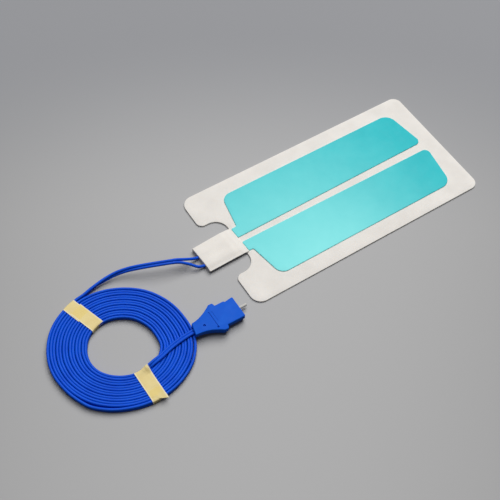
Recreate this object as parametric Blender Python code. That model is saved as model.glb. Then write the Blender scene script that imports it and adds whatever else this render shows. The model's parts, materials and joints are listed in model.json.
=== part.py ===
"""Split electrosurgical return electrode with its fixed twin lead, coiled and taped, and its plug.

Metres, +Z up. The origin is on the floor under the middle of the pad and its lead clamp. +X runs along
the pad, away from the lead, and +Y to the pad's left.
"""

import math

import bmesh
import bpy
from mathutils import Euler, Matrix, Vector

# Foam pad
PAD_LENGTH = 0.206
PAD_WIDTH = 0.106
FOAM_THICKNESS = 0.0012
NEAR_CORNER_RADIUS = 0.0085
FAR_CORNER_RADIUS = 0.007
NOTCH_DEPTH = 0.0182
NOTCH_HALF_SPAN = 0.0247
NOTCH_RADIUS = 0.0105
LIP_RADIUS = 0.005
NECK_WIDTH = 0.0206
NECK_REACH = 0.004
NECK_CORNER_RADIUS = 0.001
NECK_RAMP_LENGTH = 0.0045
ADHESIVE = 0.00005
SNUG = 0.00015

# Foil conductors and the gel on them
FOIL_THICKNESS = 0.0001
FOIL_INSET = 0.001
FOIL_TONGUE_HALF = 0.0091
GEL_THICKNESS = 0.0007
GEL_SIDE_MARGIN = 0.0124
GEL_FAR_MARGIN = 0.0122
GEL_TONGUE_HALF = 0.0116
GEL_TONGUE_LENGTH = 0.0045
GEL_NEAR_GAP = 0.0046
GEL_FAR_GAP = 0.0070
GEL_NEAR_SLANT = 0.0052
GEL_FAR_SLANT = 0.0058
GEL_NEAR_RADIUS = 0.008
GEL_FAR_RADIUS = 0.0095
GEL_INNER_RADIUS = 0.0045
GEL_TONGUE_RADIUS = 0.0012

# Foam clamp cover over the crimped joint
COVER_LENGTH = 0.0338
COVER_WIDTH = 0.0244
COVER_SKIN = 0.001
COVER_WALL = 0.0014
COVER_LAP = 0.0194
COVER_SKEW = math.radians(3.0)
COVER_EDGE = 0.0003
CLEARANCE = 0.0003

# Crimped terminals
TERMINAL_SPACING = 0.0084
BARREL_LENGTH = 0.0048
BARREL_GAP = 0.0006
BLADE_LENGTH = 0.0150
BLADE_WIDTH = 0.0040
BLADE_THICKNESS = 0.0004
BLADE_OVERLAP = 0.0012

# Twin lead
STRAND_DIAMETER = 0.00194
COIL_PITCH = 0.00202
COIL_TURNS = 12.43
COIL_START_RADIUS = 0.0484
COIL_START_ANGLE = math.radians(106.0)
COIL_OVAL = 0.0014
COIL_OVAL_ANGLE = math.radians(147.0)
COIL_LIFT = 0.0003
COIL_EDGE_RADIUS = 0.0008
COIL_SECTIONS = 90
ROUTE_SPACING = 0.0045

# Tape ties round the coil
TAPE_THICKNESS = 0.00015
TAPE_GAP = 0.00015
UPPER_TIE_ANGLE = math.radians(108.5)
UPPER_TIE_WIDTH = 0.0103
UPPER_TIE_SHIFT = -0.0004
LOWER_TIE_ANGLE = math.radians(271.1)
LOWER_TIE_WIDTH = 0.0106
LOWER_TIE_SHIFT = 0.0015
TIE_OVERLAP = 0.010
TIE_CORNER_RADIUS = 0.0006
LOWER_TIE_FLAP = 0.0016

# Plug
PLUG_LENGTH = 0.0354
PLUG_HEIGHT = 0.0072
PLUG_TILT = math.radians(2.1)
TAIL_HALF_WIDTH = 0.0047
WING_HALF_WIDTH = 0.0115
NOSE_HALF_WIDTH = 0.00885
WING_START = 0.0172
WING_END = 0.0204
NOSE_START = 0.0211
FLARE_POWER = 1.75
FLARE_STEPS = 9
KEY_STEP_DEPTH = 0.0009
KEY_STEP_START = 0.0280
KEY_STEP_END = 0.0335
SHELL_WALL = 0.0014
SHELL_EDGE = 0.0006
PARTING_GAP = 0.0001
GROOVE_WIDTH = 0.0008
DIMPLE_PLACE = 0.0069
DIMPLE_DIAMETER = 0.0018
DIMPLE_DEPTH = 0.0004
ENTRY_LENGTH = 0.0035
MOUTH_CHAMFER = 0.0004
PEG_PLACE = Vector((0.0178, 0.0086, 0.0))
PEG_DIAMETER = 0.0012
PEG_REACH = 0.0009
BOSS_DIAMETER = 0.0026

# Plug contacts, pin and the strands inside
CONTACT_SPACING = 0.0098
CONTACT_WIDTH = 0.0050
CONTACT_HEIGHT = 0.0020
CONTACT_LENGTH = 0.0132
CONTACT_RECESS = 0.0010
CONTACT_SLOT_WIDTH = 0.0038
CONTACT_SLOT_HEIGHT = 0.0009
CONTACT_SLOT_DEPTH = 0.0090
CRIMP_LENGTH = 0.0042
CRIMP_OVERLAP = 0.0008
SEAT_CLEARANCE = 0.0002
PIN_DIAMETER = 0.0022
PIN_REACH = 0.0066
PIN_ROOT = 0.0085
PIN_COLLAR_DIAMETER = 0.0040
PIN_COLLAR_LENGTH = 0.0020
PIN_TIP_RADIUS = 0.0006

# The two grip grooves: place along the plug, their middle across it, length and depth
GROOVES = (
    (0.0143, -0.0003, 0.0132, 0.0006),
    (0.0163, 0.0014, 0.0086, 0.0003),
)

# Places in the lead's own frame, whose origin is on the floor under the middle of the clamp's lead end
COIL_CENTRE = Vector((-0.08235, -0.03008, 0.0))
PLUG_PLACE = Vector((-0.03445, -0.04753, 0.0))

# The free lead's route from the coil to where its strands part: X, Y, Z and how far it has turned from on edge
TAIL_ROUTE = (
    ((-0.09115, 0.01815, 0.0023), 0),
    ((-0.08605, 0.01915, 0.0025), 4),
    ((-0.08005, 0.02120, 0.0028), 8),
    ((-0.07325, 0.02285, 0.0031), 14),
    ((-0.06700, 0.02325, 0.0036), 22),
    ((-0.05975, 0.02280, 0.0045), 32),
    ((-0.05265, 0.02117, 0.0059), 44),
    ((-0.04585, 0.01867, 0.0074), 54),
    ((-0.03735, 0.01460, 0.0088), 64),
    ((-0.02855, 0.01072, 0.0094), 74),
    ((-0.02075, 0.00770, 0.0091), 82),
    ((-0.01340, 0.00500, 0.0079), 88),
)

# Each strand's own way from the parting point to the clamp's end face
LEFT_STRAND_ROUTE = (
    (-0.01255, 0.00572, 0.0077),
    (-0.00850, 0.00500, 0.0065),
    (-0.00420, 0.00440, 0.0041),
)
RIGHT_STRAND_ROUTE = (
    (-0.01315, 0.00384, 0.0077),
    (-0.00960, 0.00120, 0.0065),
    (-0.00480, -0.00310, 0.0040),
)

# Where hand winding left the coil off an even spiral, in millimetres outwards at an angle in degrees: the
# outermost turn, the turn inside it and the innermost turn
COIL_WANDER = (
    (0, -0.60, -0.60, -1.00),
    (20, -0.45, -0.50, -1.00),
    (40, -0.10, -0.20, -0.45),
    (60, -0.30, -0.30, -0.42),
    (80, -0.10, -0.15, -0.40),
    (106, 0.00, -0.10, -0.90),
    (130, 0.05, 0.00, -1.05),
    (150, -0.15, -0.10, -1.10),
    (170, 0.00, 0.00, -0.60),
    (190, 0.10, 0.05, 0.30),
    (205, 0.90, 0.10, 0.75),
    (217, 1.60, 0.20, 0.90),
    (230, 1.15, 0.30, 1.00),
    (245, 0.60, 0.35, 1.10),
    (262, 0.50, 0.40, 1.10),
    (275, 0.50, 0.45, 1.10),
    (290, 0.75, 0.60, 1.00),
    (305, 1.40, 0.80, 0.90),
    (320, 1.90, 0.90, 0.90),
    (332, 1.60, 0.60, 0.40),
    (345, 0.40, 0.10, -0.60),
    (352, -0.20, -0.30, -0.90),
)

# The inner end's way over the coil to the plug, measured from the coil's centre
CROSSING_ROUTE = (
    (0.0083, -0.0247, 0.00560),
    (0.0128, -0.0236, 0.00560),
    (0.0184, -0.0222, 0.00560),
    (0.0254, -0.0201, 0.00560),
    (0.0324, -0.0187, 0.00560),
    (0.0394, -0.0178, 0.00560),
    (0.0442, -0.0175, 0.00550),
    (0.0475, -0.01745, 0.00512),
    (0.0502, -0.01745, 0.00484),
)

# Places that follow from the sizes
COVER_REACH = COVER_LENGTH * math.cos(COVER_SKEW) + COVER_WIDTH / 2 * math.sin(COVER_SKEW)
PAD_NEAR_X = (COVER_REACH - COVER_LAP - PAD_LENGTH) / 2
PAD_FAR_X = PAD_NEAR_X + PAD_LENGTH
NECK_FOOT_X = PAD_NEAR_X + NOTCH_DEPTH
NECK_LIFT = COVER_SKIN + ADHESIVE
FOIL_Z = FOAM_THICKNESS + ADHESIVE
FOIL_TOP = FOIL_Z + FOIL_THICKNESS
GEL_Z = FOIL_TOP + ADHESIVE
COVER_PIVOT = Vector((PAD_NEAR_X + COVER_LAP, 0.0, 0.0))
BASE_END = NOTCH_DEPTH - NECK_RAMP_LENGTH - CLEARANCE - COVER_LAP
LEAD_ORIGIN = COVER_PIVOT + Matrix.Rotation(COVER_SKEW, 3, "Z") @ Vector((-COVER_LENGTH, 0.0, 0.0))
STRAND_Z = COVER_SKIN + STRAND_DIAMETER / 2 + SNUG
POCKET_TOP = COVER_SKIN + STRAND_DIAMETER + 2 * SNUG
BARREL_START = COVER_LENGTH - COVER_LAP - NECK_REACH - BARREL_GAP - BARREL_LENGTH
COIL_HEIGHT = 2 * STRAND_DIAMETER
PLUG_MID = PLUG_HEIGHT / 2


def clear_scene():
    """Removes whatever the scene holds."""
    for item in list(bpy.data.objects):
        bpy.data.objects.remove(item, do_unlink=True)


def make_material(name, colour, roughness, metallic=0.0):
    """Returns a Principled material."""
    material = bpy.data.materials.new(name)
    material.use_nodes = True
    shader = material.node_tree.nodes["Principled BSDF"]
    shader.inputs["Base Color"].default_value = (*colour, 1.0)
    shader.inputs["Roughness"].default_value = roughness
    shader.inputs["Metallic"].default_value = metallic
    return material


def add_mesh(name, bm, material, parent=None, smooth_angle=35.0):
    """Makes an object of a bmesh, facing outwards, and frees the bmesh."""
    bmesh.ops.recalc_face_normals(bm, faces=bm.faces)
    mesh = bpy.data.meshes.new(name)
    bm.to_mesh(mesh)
    bm.free()
    mesh.shade_smooth()
    mesh.set_sharp_from_angle(angle=math.radians(smooth_angle))
    item = bpy.data.objects.new(name, mesh)
    item.data.materials.append(material)
    item.parent = parent
    bpy.context.scene.collection.objects.link(item)
    return item


def add_cutter(name, bm, parent=None):
    """Makes a hidden shape that another piece is cut with."""
    bmesh.ops.recalc_face_normals(bm, faces=bm.faces)
    mesh = bpy.data.meshes.new(name)
    bm.to_mesh(mesh)
    bm.free()
    item = bpy.data.objects.new(name, mesh)
    item.hide_render = True
    item.display_type = "WIRE"
    item.parent = parent
    bpy.context.scene.collection.objects.link(item)
    return item


def boolean(item, cutter, operation="DIFFERENCE"):
    """Cuts a piece with another, or joins the two."""
    modifier = item.modifiers.new(cutter.name, "BOOLEAN")
    modifier.operation = operation
    modifier.solver = "EXACT"
    modifier.object = cutter


def rounded_outline(corners, steps=6):
    """Returns the points of a closed outline whose corners (x, y, radius) are rounded."""
    points = []
    count = len(corners)
    for index, (x, y, radius) in enumerate(corners):
        here = Vector((x, y))
        before = (Vector(corners[index - 1][:2]) - here).normalized()
        after = (Vector(corners[(index + 1) % count][:2]) - here).normalized()
        if radius <= 0.0:
            points.append(here)
            continue
        half = before.angle(after) / 2
        centre = here + (before + after).normalized() * (radius / math.sin(half))
        start = here + before * (radius / math.tan(half)) - centre
        sweep = start.angle_signed(here + after * (radius / math.tan(half)) - centre)
        for step in range(steps + 1):
            turn = Matrix.Rotation(-sweep * step / steps, 2)
            points.append(centre + turn @ start)
    return points


def prism(points, low, high):
    """Returns a bmesh of a flat outline in X and Y, raised from one height to another."""
    bm = bmesh.new()
    face = bm.faces.new([bm.verts.new((p[0], p[1], low)) for p in points])
    raised = bmesh.ops.extrude_face_region(bm, geom=[face])["geom"]
    moved = [part for part in raised if isinstance(part, bmesh.types.BMVert)]
    bmesh.ops.translate(bm, vec=(0.0, 0.0, high - low), verts=moved)
    bmesh.ops.recalc_face_normals(bm, faces=bm.faces)
    return bm


def side_prism(points, low, high):
    """Returns a bmesh of an outline in X and Z, extended from one Y to another."""
    bm = prism(points, low, high)
    for vert in bm.verts:
        vert.co = Vector((vert.co.x, vert.co.z, vert.co.y))
    bmesh.ops.recalc_face_normals(bm, faces=bm.faces)
    return bm


def block(low, high):
    """Returns a bmesh of a box between two corners."""
    return prism([(low[0], low[1]), (high[0], low[1]), (high[0], high[1]), (low[0], high[1])], low[2], high[2])


def rod(radius, start, end, height, sides=20):
    """Returns a bmesh of a round bar along X at Y zero."""
    circle = [
        (radius * math.cos(2 * math.pi * i / sides), radius * math.sin(2 * math.pi * i / sides))
        for i in range(sides)
    ]
    bm = prism(circle, start, end)
    for vert in bm.verts:
        vert.co = Vector((vert.co.z, vert.co.x, vert.co.y + height))
    bmesh.ops.recalc_face_normals(bm, faces=bm.faces)
    return bm


def shifted(bm, offset):
    """Moves a bmesh and returns it."""
    bmesh.ops.translate(bm, vec=offset, verts=bm.verts)
    return bm


def cut_across(bm, stations):
    """Splits a bmesh's faces by planes across X, so that it can bend there."""
    for x in stations:
        parts = list(bm.verts) + list(bm.edges) + list(bm.faces)
        bmesh.ops.bisect_plane(bm, geom=parts, dist=1e-7, plane_co=(x, 0, 0), plane_no=(1, 0, 0))


def bevel_level(bm, height, width, segments=2):
    """Rounds the edges that lie at one height."""
    edges = [e for e in bm.edges if all(abs(v.co.z - height) < 1e-7 for v in e.verts)]
    bmesh.ops.bevel(bm, geom=edges, offset=width, segments=segments, profile=0.5, affect="EDGES")
    return bm


def smoothstep(t):
    """Returns an even S curve from 0 to 1."""
    t = min(max(t, 0.0), 1.0)
    return t * t * (3 - 2 * t)


def neck_share(x):
    """Returns how far up the neck's ramp a place along X is, from 0 at the pad to 1 on the base."""
    return smoothstep((NECK_FOOT_X - x) / NECK_RAMP_LENGTH)


def bend_neck(bm):
    """Lifts the neck onto the clamp's base and turns it in line with the skewed cover."""
    steps = 6
    reach = NECK_WIDTH / 2 + 2 * NECK_CORNER_RADIUS
    cut_across(bm, [NECK_FOOT_X - NECK_RAMP_LENGTH * i / steps for i in range(steps + 1)])
    for vert in bm.verts:
        past = NECK_FOOT_X - vert.co.x
        if past > 0.0 and abs(vert.co.y) < reach:
            vert.co.z += NECK_LIFT * neck_share(vert.co.x)
            vert.co.y -= past * math.tan(COVER_SKEW)
    return bm


def foam_corners():
    """Returns the pad's die-cut outline: near edge with its two notches and the neck between them."""
    half = PAD_WIDTH / 2
    neck = NECK_WIDTH / 2
    neck_end = PAD_NEAR_X - NECK_REACH
    side = [
        (PAD_FAR_X, half, FAR_CORNER_RADIUS),
        (PAD_NEAR_X, half, NEAR_CORNER_RADIUS),
        (PAD_NEAR_X, NOTCH_HALF_SPAN, LIP_RADIUS),
        (NECK_FOOT_X, NOTCH_HALF_SPAN, NOTCH_RADIUS),
        (NECK_FOOT_X, neck, NECK_CORNER_RADIUS),
        (neck_end, neck, NECK_CORNER_RADIUS),
    ]
    return side + [(x, -y, r) for x, y, r in reversed(side)]


def make_foam(material):
    """Makes the white foam backing."""
    bm = bend_neck(prism(rounded_outline(foam_corners(), 8), 0.0, FOAM_THICKNESS))
    return add_mesh("foam_backing", bm, material)


def zone_corners(start, tongue_half, inset, skew):
    """Returns one conductive half's corners, as on the +Y side, drawn in by an inset, its start edge skewed."""
    far = PAD_FAR_X - GEL_FAR_MARGIN - inset
    outer = PAD_WIDTH / 2 - GEL_SIDE_MARGIN - inset
    shoulder = PAD_NEAR_X + COVER_LAP + GEL_TONGUE_LENGTH + inset
    inner = GEL_NEAR_GAP / 2 + inset / 2
    return [
        (start - skew * inner, inner, GEL_TONGUE_RADIUS),
        (far, GEL_FAR_GAP / 2 + inset / 2, GEL_INNER_RADIUS),
        (far - GEL_FAR_SLANT, outer, GEL_FAR_RADIUS),
        (shoulder + GEL_NEAR_SLANT, outer, GEL_NEAR_RADIUS),
        (shoulder, tongue_half, GEL_TONGUE_RADIUS),
        (start - skew * tongue_half, tongue_half, GEL_TONGUE_RADIUS),
    ]


def zone_outline(side, *sizes):
    """Returns the rounded outline of the left (+1) or right (-1) conductive half."""
    return [(p.x, side * p.y) for p in rounded_outline(zone_corners(*sizes))]


def make_conductors(foil_material, gel_material):
    """Makes the two foils, whose tongues run into the clamp, and the two gel zones on them."""
    foil_start = PAD_NEAR_X - NECK_REACH + FOIL_INSET
    gel_start = PAD_NEAR_X + COVER_LAP + CLEARANCE
    for label, side in (("left", 1), ("right", -1)):
        outline = zone_outline(side, foil_start, FOIL_TONGUE_HALF, FOIL_INSET, 0.0)
        foil = bend_neck(prism(outline, FOIL_Z, FOIL_TOP))
        add_mesh(f"foil_{label}", foil, foil_material)
        outline = zone_outline(side, gel_start, GEL_TONGUE_HALF, 0.0, side * math.tan(COVER_SKEW))
        gel = prism(outline, GEL_Z, GEL_Z + GEL_THICKNESS)
        add_mesh(f"gel_{label}", gel, gel_material)


def add_frame(name, place, turn=(0.0, 0.0, 0.0)):
    """Makes an empty that pieces are placed under."""
    frame = bpy.data.objects.new(name, None)
    frame.location = place
    frame.rotation_euler = Euler(turn)
    bpy.context.scene.collection.objects.link(frame)
    return frame


def cover_underside(x):
    """Returns the height of the cover's inner face at a distance x from the cover's pad end."""
    world = COVER_PIVOT.x + x
    over_foil = FOIL_TOP + SNUG + NECK_LIFT * neck_share(world)
    ramp_head = NECK_FOOT_X - NECK_RAMP_LENGTH
    over_blade = smoothstep((ramp_head - world) / NECK_RAMP_LENGTH)
    return over_foil + (POCKET_TOP - FOIL_TOP - SNUG - NECK_LIFT) * over_blade


def cover_profile(rise, low, start, end):
    """Returns the cover's side view, its upper line a rise above the underside, down to low behind the base's end."""
    steps = 16
    upper = [end + (start - end) * i / steps for i in range(steps + 1)]
    points = [(x, cover_underside(x) + rise) for x in upper]
    points += [(start, low), (BASE_END, low)]
    return points


def make_cover(material):
    """Makes the formed foam cover and its flat base, skewed as on a hand-folded patch."""
    frame = add_frame("clamp_frame", COVER_PIVOT, (0.0, 0.0, COVER_SKEW))
    half = COVER_WIDTH / 2
    inside = half - COVER_WALL
    floor = COVER_SKIN + ADHESIVE
    profile = cover_profile(COVER_SKIN, floor, -COVER_LENGTH, 0.0)
    under = [(BASE_END * (1 - i / 8), cover_underside(BASE_END * (1 - i / 8))) for i in range(9)]
    top = add_mesh("clamp_cover_top", side_prism(profile + under, -half, half), material, frame)
    edge = top.modifiers.new("soft_edges", "BEVEL")
    edge.width = COVER_EDGE
    edge.segments = 2
    edge.limit_method = "ANGLE"
    edge.angle_limit = math.radians(50)
    pocket_start = -COVER_LENGTH + COVER_WALL
    pocket = [(x, z) for x, z in cover_profile(0.0, 0.0, pocket_start, CLEARANCE)[:-1]]
    pocket.append((CLEARANCE, 0.0))
    boolean(top, add_cutter("cover_pocket", side_prism(pocket, -inside, inside), frame))
    for label, side in (("left", 1), ("right", -1)):
        width = STRAND_DIAMETER + 2 * SEAT_CLEARANCE
        y = side * TERMINAL_SPACING / 2
        low = (-COVER_LENGTH - COVER_WALL, y - width / 2, 0.0)
        high = (pocket_start + COVER_WALL, y + width / 2, STRAND_Z + width / 2)
        boolean(top, add_cutter(f"strand_notch_{label}", block(low, high), frame))
    plan = [(-COVER_LENGTH, half), (-COVER_LENGTH, -half), (BASE_END, -half), (BASE_END, half)]
    base = prism(rounded_outline([(x, y, COVER_EDGE) for x, y in plan], 3), 0.0, COVER_SKIN)
    add_mesh("clamp_cover_base", base, material, frame)
    return frame


def make_terminals(material, frame):
    """Makes the two crimp terminals: a barrel on the strand and a blade pressed on the foil's tongue."""
    barrel_low = -COVER_LENGTH + BARREL_START
    barrel_high = barrel_low + BARREL_LENGTH
    blade_z = FOIL_TOP + NECK_LIFT + ADHESIVE
    for label, side in (("left", 1), ("right", -1)):
        y = side * TERMINAL_SPACING / 2
        barrel = rod(STRAND_DIAMETER / 2, barrel_low, barrel_high, STRAND_Z, 12)
        terminal = add_mesh(f"clamp_terminal_{label}", shifted(barrel, (0, y, 0)), material, frame)
        start = barrel_high - BLADE_OVERLAP
        plan = [
            (start, y - STRAND_DIAMETER / 4, 0.0),
            (barrel_high, y - BLADE_WIDTH / 2, BLADE_WIDTH / 8),
            (barrel_high + BLADE_LENGTH - BARREL_LENGTH, y - BLADE_WIDTH / 2, BLADE_WIDTH / 8),
            (barrel_high + BLADE_LENGTH - BARREL_LENGTH, y + BLADE_WIDTH / 2, BLADE_WIDTH / 8),
            (barrel_high, y + BLADE_WIDTH / 2, BLADE_WIDTH / 8),
            (start, y + STRAND_DIAMETER / 4, 0.0),
        ]
        blade = prism(rounded_outline(plan, 3), blade_z, blade_z + BLADE_THICKNESS)
        boolean(terminal, add_cutter(f"terminal_blade_{label}", blade, frame), "UNION")


def smooth_route(points, spacing):
    """Returns evenly spaced samples (value tuples) of the Catmull-Rom curve through the points."""
    ends = [[2 * a - b for a, b in zip(points[0], points[1])], [2 * a - b for a, b in zip(points[-1], points[-2])]]
    knots = [ends[0], *points, ends[1]]
    fine = []
    for p0, p1, p2, p3 in zip(knots, knots[1:], knots[2:], knots[3:]):
        for step in range(12):
            t = step / 12
            fine.append([
                0.5 * (2 * b + (c - a) * t + (2 * a - 5 * b + 4 * c - d) * t * t + (3 * b - a - 3 * c + d) * t ** 3)
                for a, b, c, d in zip(p0, p1, p2, p3)
            ])
    fine.append(list(points[-1]))
    lengths = [0.0]
    for a, b in zip(fine, fine[1:]):
        lengths.append(lengths[-1] + math.dist(a[:3], b[:3]))
    count = max(2, round(lengths[-1] / spacing))
    samples = []
    index = 0
    for step in range(count + 1):
        wanted = lengths[-1] * step / count
        while index < len(fine) - 2 and lengths[index + 1] < wanted:
            index += 1
        share = (wanted - lengths[index]) / (lengths[index + 1] - lengths[index])
        samples.append([a + (b - a) * share for a, b in zip(fine[index], fine[index + 1])])
    return samples


def add_lead(name, samples, material, parent=None, twin=False):
    """Makes a lead along samples of X, Y, Z and, for a twin lead, degrees turned from on edge."""
    curve = bpy.data.curves.new(name, "CURVE")
    curve.dimensions = "3D"
    curve.twist_mode = "Z_UP"
    curve.bevel_depth = STRAND_DIAMETER / 2
    curve.bevel_resolution = 2
    curve.extrude = STRAND_DIAMETER / 2 if twin else 0.0
    curve.use_fill_caps = True
    spline = curve.splines.new("POLY")
    spline.points.add(len(samples) - 1)
    for point, sample in zip(spline.points, samples):
        point.co = (*sample[:3], 1.0)
        point.tilt = math.radians(sample[3]) if twin else 0.0
    item = bpy.data.objects.new(name, curve)
    item.data.materials.append(material)
    item.parent = parent
    bpy.context.scene.collection.objects.link(item)
    return item


def make_free_lead(material, clamp):
    """Makes the stretch from the coil to the clamp: the twin lead, then its two strands apart."""
    origin = LEAD_ORIGIN
    tail = [(*(origin + Vector(place)), turned) for place, turned in TAIL_ROUTE]
    add_lead("lead_tail", smooth_route(tail, ROUTE_SPACING), material, twin=True)
    turn = Matrix.Rotation(COVER_SKEW, 3, "Z")
    routes = (("left", 1, LEFT_STRAND_ROUTE), ("right", -1, RIGHT_STRAND_ROUTE))
    for label, side, route in routes:
        y = side * TERMINAL_SPACING / 2
        inner = [Vector((x, y, STRAND_Z)) for x in (0.0, COVER_WALL, BARREL_START - CLEARANCE)]
        points = [origin + Vector(place) for place in route] + [origin + turn @ place for place in inner]
        add_lead(f"lead_strand_{label}", smooth_route([tuple(p) for p in points], ROUTE_SPACING / 2), material)


def oval(angle):
    """Returns how far the coil stands out from a true circle at an angle."""
    return COIL_OVAL * math.cos(2 * (angle - COIL_OVAL_ANGLE))


def coil_wander(wound):
    """Returns how far the lead lies off an even spiral, an angle round from the coil's outer end."""
    degrees = math.degrees(COIL_START_ANGLE + wound) % 360
    rows = [(COIL_WANDER[-1][0] - 360, *COIL_WANDER[-1][1:]), *COIL_WANDER, (360, *COIL_WANDER[0][1:])]
    index = max(i for i, row in enumerate(rows[:-1]) if row[0] <= degrees)
    low, high = rows[index], rows[index + 1]
    share = smoothstep((degrees - low[0]) / (high[0] - low[0]))
    outermost, following, innermost = (a + (b - a) * share for a, b in zip(low[1:], high[1:]))
    turn = wound / (2 * math.pi)
    inward = min(max((turn - 1.0) / (COIL_TURNS - 1.5), 0.0), 1.0)
    body = following + (innermost - following) * inward
    return 0.001 * (outermost + (body - outermost) * smoothstep((turn - 0.75) / 0.8))


def turn_radius(wound):
    """Returns the radius of the lead's middle, an angle round from the coil's outer end."""
    even = COIL_START_RADIUS - COIL_PITCH * wound / (2 * math.pi)
    return even + oval(COIL_START_ANGLE + wound) + coil_wander(wound)


def coil_section(turned):
    """Returns the angle, inner radius and outer radius of the wound coil, an angle round from its outer end."""
    inner_end = 2 * math.pi * (COIL_TURNS % 1.0)
    whole = math.floor(COIL_TURNS) - (1 if turned > inner_end else 0)
    outer = turn_radius(turned) + STRAND_DIAMETER / 2
    inner = turn_radius(turned + 2 * math.pi * whole) - STRAND_DIAMETER / 2
    return COIL_START_ANGLE + turned, inner, outer


def make_coil(material):
    """Makes the outer shape of the wound lead: a turned ring that steps in by one turn where its ends leave."""
    bm = bmesh.new()
    rings = []
    low = COIL_LIFT
    high = COIL_LIFT + COIL_HEIGHT
    centre = LEAD_ORIGIN + COIL_CENTRE
    for index in range(COIL_SECTIONS):
        angle, inner, outer = coil_section(2 * math.pi * index / COIL_SECTIONS)
        corners = [(inner, low), (outer, low), (outer, high), (inner, high)]
        section = rounded_outline([(r, z, COIL_EDGE_RADIUS) for r, z in corners], 2)
        ring = [
            bm.verts.new((centre.x + p.x * math.cos(angle), centre.y + p.x * math.sin(angle), p.y))
            for p in section
        ]
        rings.append(ring)
    for ring, following in zip(rings, rings[1:] + rings[:1]):
        for i in range(len(ring)):
            j = (i + 1) % len(ring)
            bm.faces.new((ring[i], ring[j], following[j], following[i]))
    add_mesh("lead_coil", bm, material)


def make_crossing(material):
    """Makes the lead's inner end, lying flat across the coil and into the plug."""
    centre = LEAD_ORIGIN + COIL_CENTRE
    route = [(*(centre + Vector(place)), 90.0) for place in CROSSING_ROUTE]
    add_lead("lead_crossing", smooth_route(route, ROUTE_SPACING), material, twin=True)


def tie_reach(angle, width, shift):
    """Returns how near and how far a tie, set aside by a shift, has to reach to clear the coil under it."""
    nearest = []
    furthest = []
    for degrees in range(-24, 25):
        off = math.radians(degrees)
        _, inner, outer = coil_section((angle + off - COIL_START_ANGLE) % (2 * math.pi))
        if abs(inner * math.sin(off) - shift) <= width / 2 + CLEARANCE:
            nearest.append(inner * math.cos(off))
        if abs(outer * math.sin(off) - shift) <= width / 2 + CLEARANCE:
            furthest.append(outer * math.cos(off))
    return min(nearest), max(furthest)


def make_tie(name, angle, width, shift, flap, material):
    """Makes one turn of tape round the coil, its outer end lapped over the top and its flap past the edge."""
    inner, outer = tie_reach(angle, width, shift)
    inner -= TAPE_GAP
    outer += TAPE_GAP
    step = TAPE_THICKNESS + TAPE_GAP / 2
    low = COIL_LIFT - TAPE_GAP
    high = COIL_LIFT + COIL_HEIGHT + TAPE_GAP
    line = [
        (outer + TAPE_THICKNESS + flap, high + step, 0.0),
        (inner, high + step, TIE_CORNER_RADIUS),
        (inner, low, TIE_CORNER_RADIUS),
        (outer, low, TIE_CORNER_RADIUS),
        (outer, high, TIE_CORNER_RADIUS),
        (outer - TIE_OVERLAP, high, 0.0),
    ]
    face = strip_outline(line, TAPE_THICKNESS)
    bm = side_prism(face, shift - width / 2, shift + width / 2)
    centre = LEAD_ORIGIN + COIL_CENTRE
    frame = add_frame(f"{name}_frame", centre, (0.0, 0.0, angle))
    add_mesh(name, bm, material, frame)


def strip_outline(line, thickness):
    """Returns the outline of a strip that keeps a thickness outside an open line with rounded corners."""
    nearer = open_line(line, 0.0)
    further = open_line(line, thickness)
    return nearer + further[::-1]


def open_line(line, offset):
    """Returns an open line, moved outwards by an offset, with its inner corners rounded."""
    points = []
    for index, (x, z, radius) in enumerate(line):
        here = Vector((x, z))
        if index in (0, len(line) - 1):
            other = Vector(line[1][:2]) if index == 0 else Vector(line[-2][:2])
            along = (other - here).normalized() * (1 if index == 0 else -1)
            points.append(here + Vector((along.y, -along.x)) * offset)
            continue
        before = (Vector(line[index - 1][:2]) - here).normalized()
        after = (Vector(line[index + 1][:2]) - here).normalized()
        half = before.angle(after) / 2
        centre = here + (before + after).normalized() * (radius / math.sin(half))
        start = here + before * (radius / math.tan(half)) - centre
        end = here + after * (radius / math.tan(half)) - centre
        sweep = start.angle_signed(end)
        scale = (radius + offset) / radius
        for step in range(5):
            points.append(centre + (Matrix.Rotation(-sweep * step / 4, 2) @ start) * scale)
    return points


def flare_half_width(x):
    """Returns the plug's half width along its flared tail."""
    share = (x / WING_START) ** FLARE_POWER
    return TAIL_HALF_WIDTH + (WING_HALF_WIDTH - TAIL_HALF_WIDTH) * share


def plug_corners(inset, start):
    """Returns the plug's outline from above, drawn in by an inset, from a place behind its nose."""
    wing_radius = max(0.0012 - inset, 0.0003)
    nose = NOSE_HALF_WIDTH - inset
    wing = WING_HALF_WIDTH - inset
    front = PLUG_LENGTH - inset
    stations = [start + (WING_START - start) * i / FLARE_STEPS for i in range(FLARE_STEPS)]
    flare = [(x, flare_half_width(x) - inset, 0.0006 if i == 0 else 0.0) for i, x in enumerate(stations)]
    common = [(WING_START, wing, wing_radius), (WING_END, wing, wing_radius), (NOSE_START, nose, 0.0004)]
    plain = flare + common + [(front, nose, 0.0008)]
    step = [
        (KEY_STEP_START, nose, 0.0),
        (KEY_STEP_START + KEY_STEP_DEPTH, nose - KEY_STEP_DEPTH, 0.0),
        (KEY_STEP_END, nose - KEY_STEP_DEPTH / 3, 0.0),
        (front, nose - KEY_STEP_DEPTH / 6, 0.0008),
    ]
    left = flare + common + step
    return [(x, -y, r) for x, y, r in plain] + left[::-1]


def shell_half(side):
    """Returns one moulded half, +1 for the upper, its outer rim rounded."""
    parting = side * PARTING_GAP / 2
    outside = side * PLUG_HEIGHT / 2
    bm = prism(rounded_outline(plug_corners(0.0, 0.0), 4), parting, outside)
    bevel_level(bm, outside, SHELL_EDGE)
    return shifted(bm, (0.0, 0.0, PLUG_MID))


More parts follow.
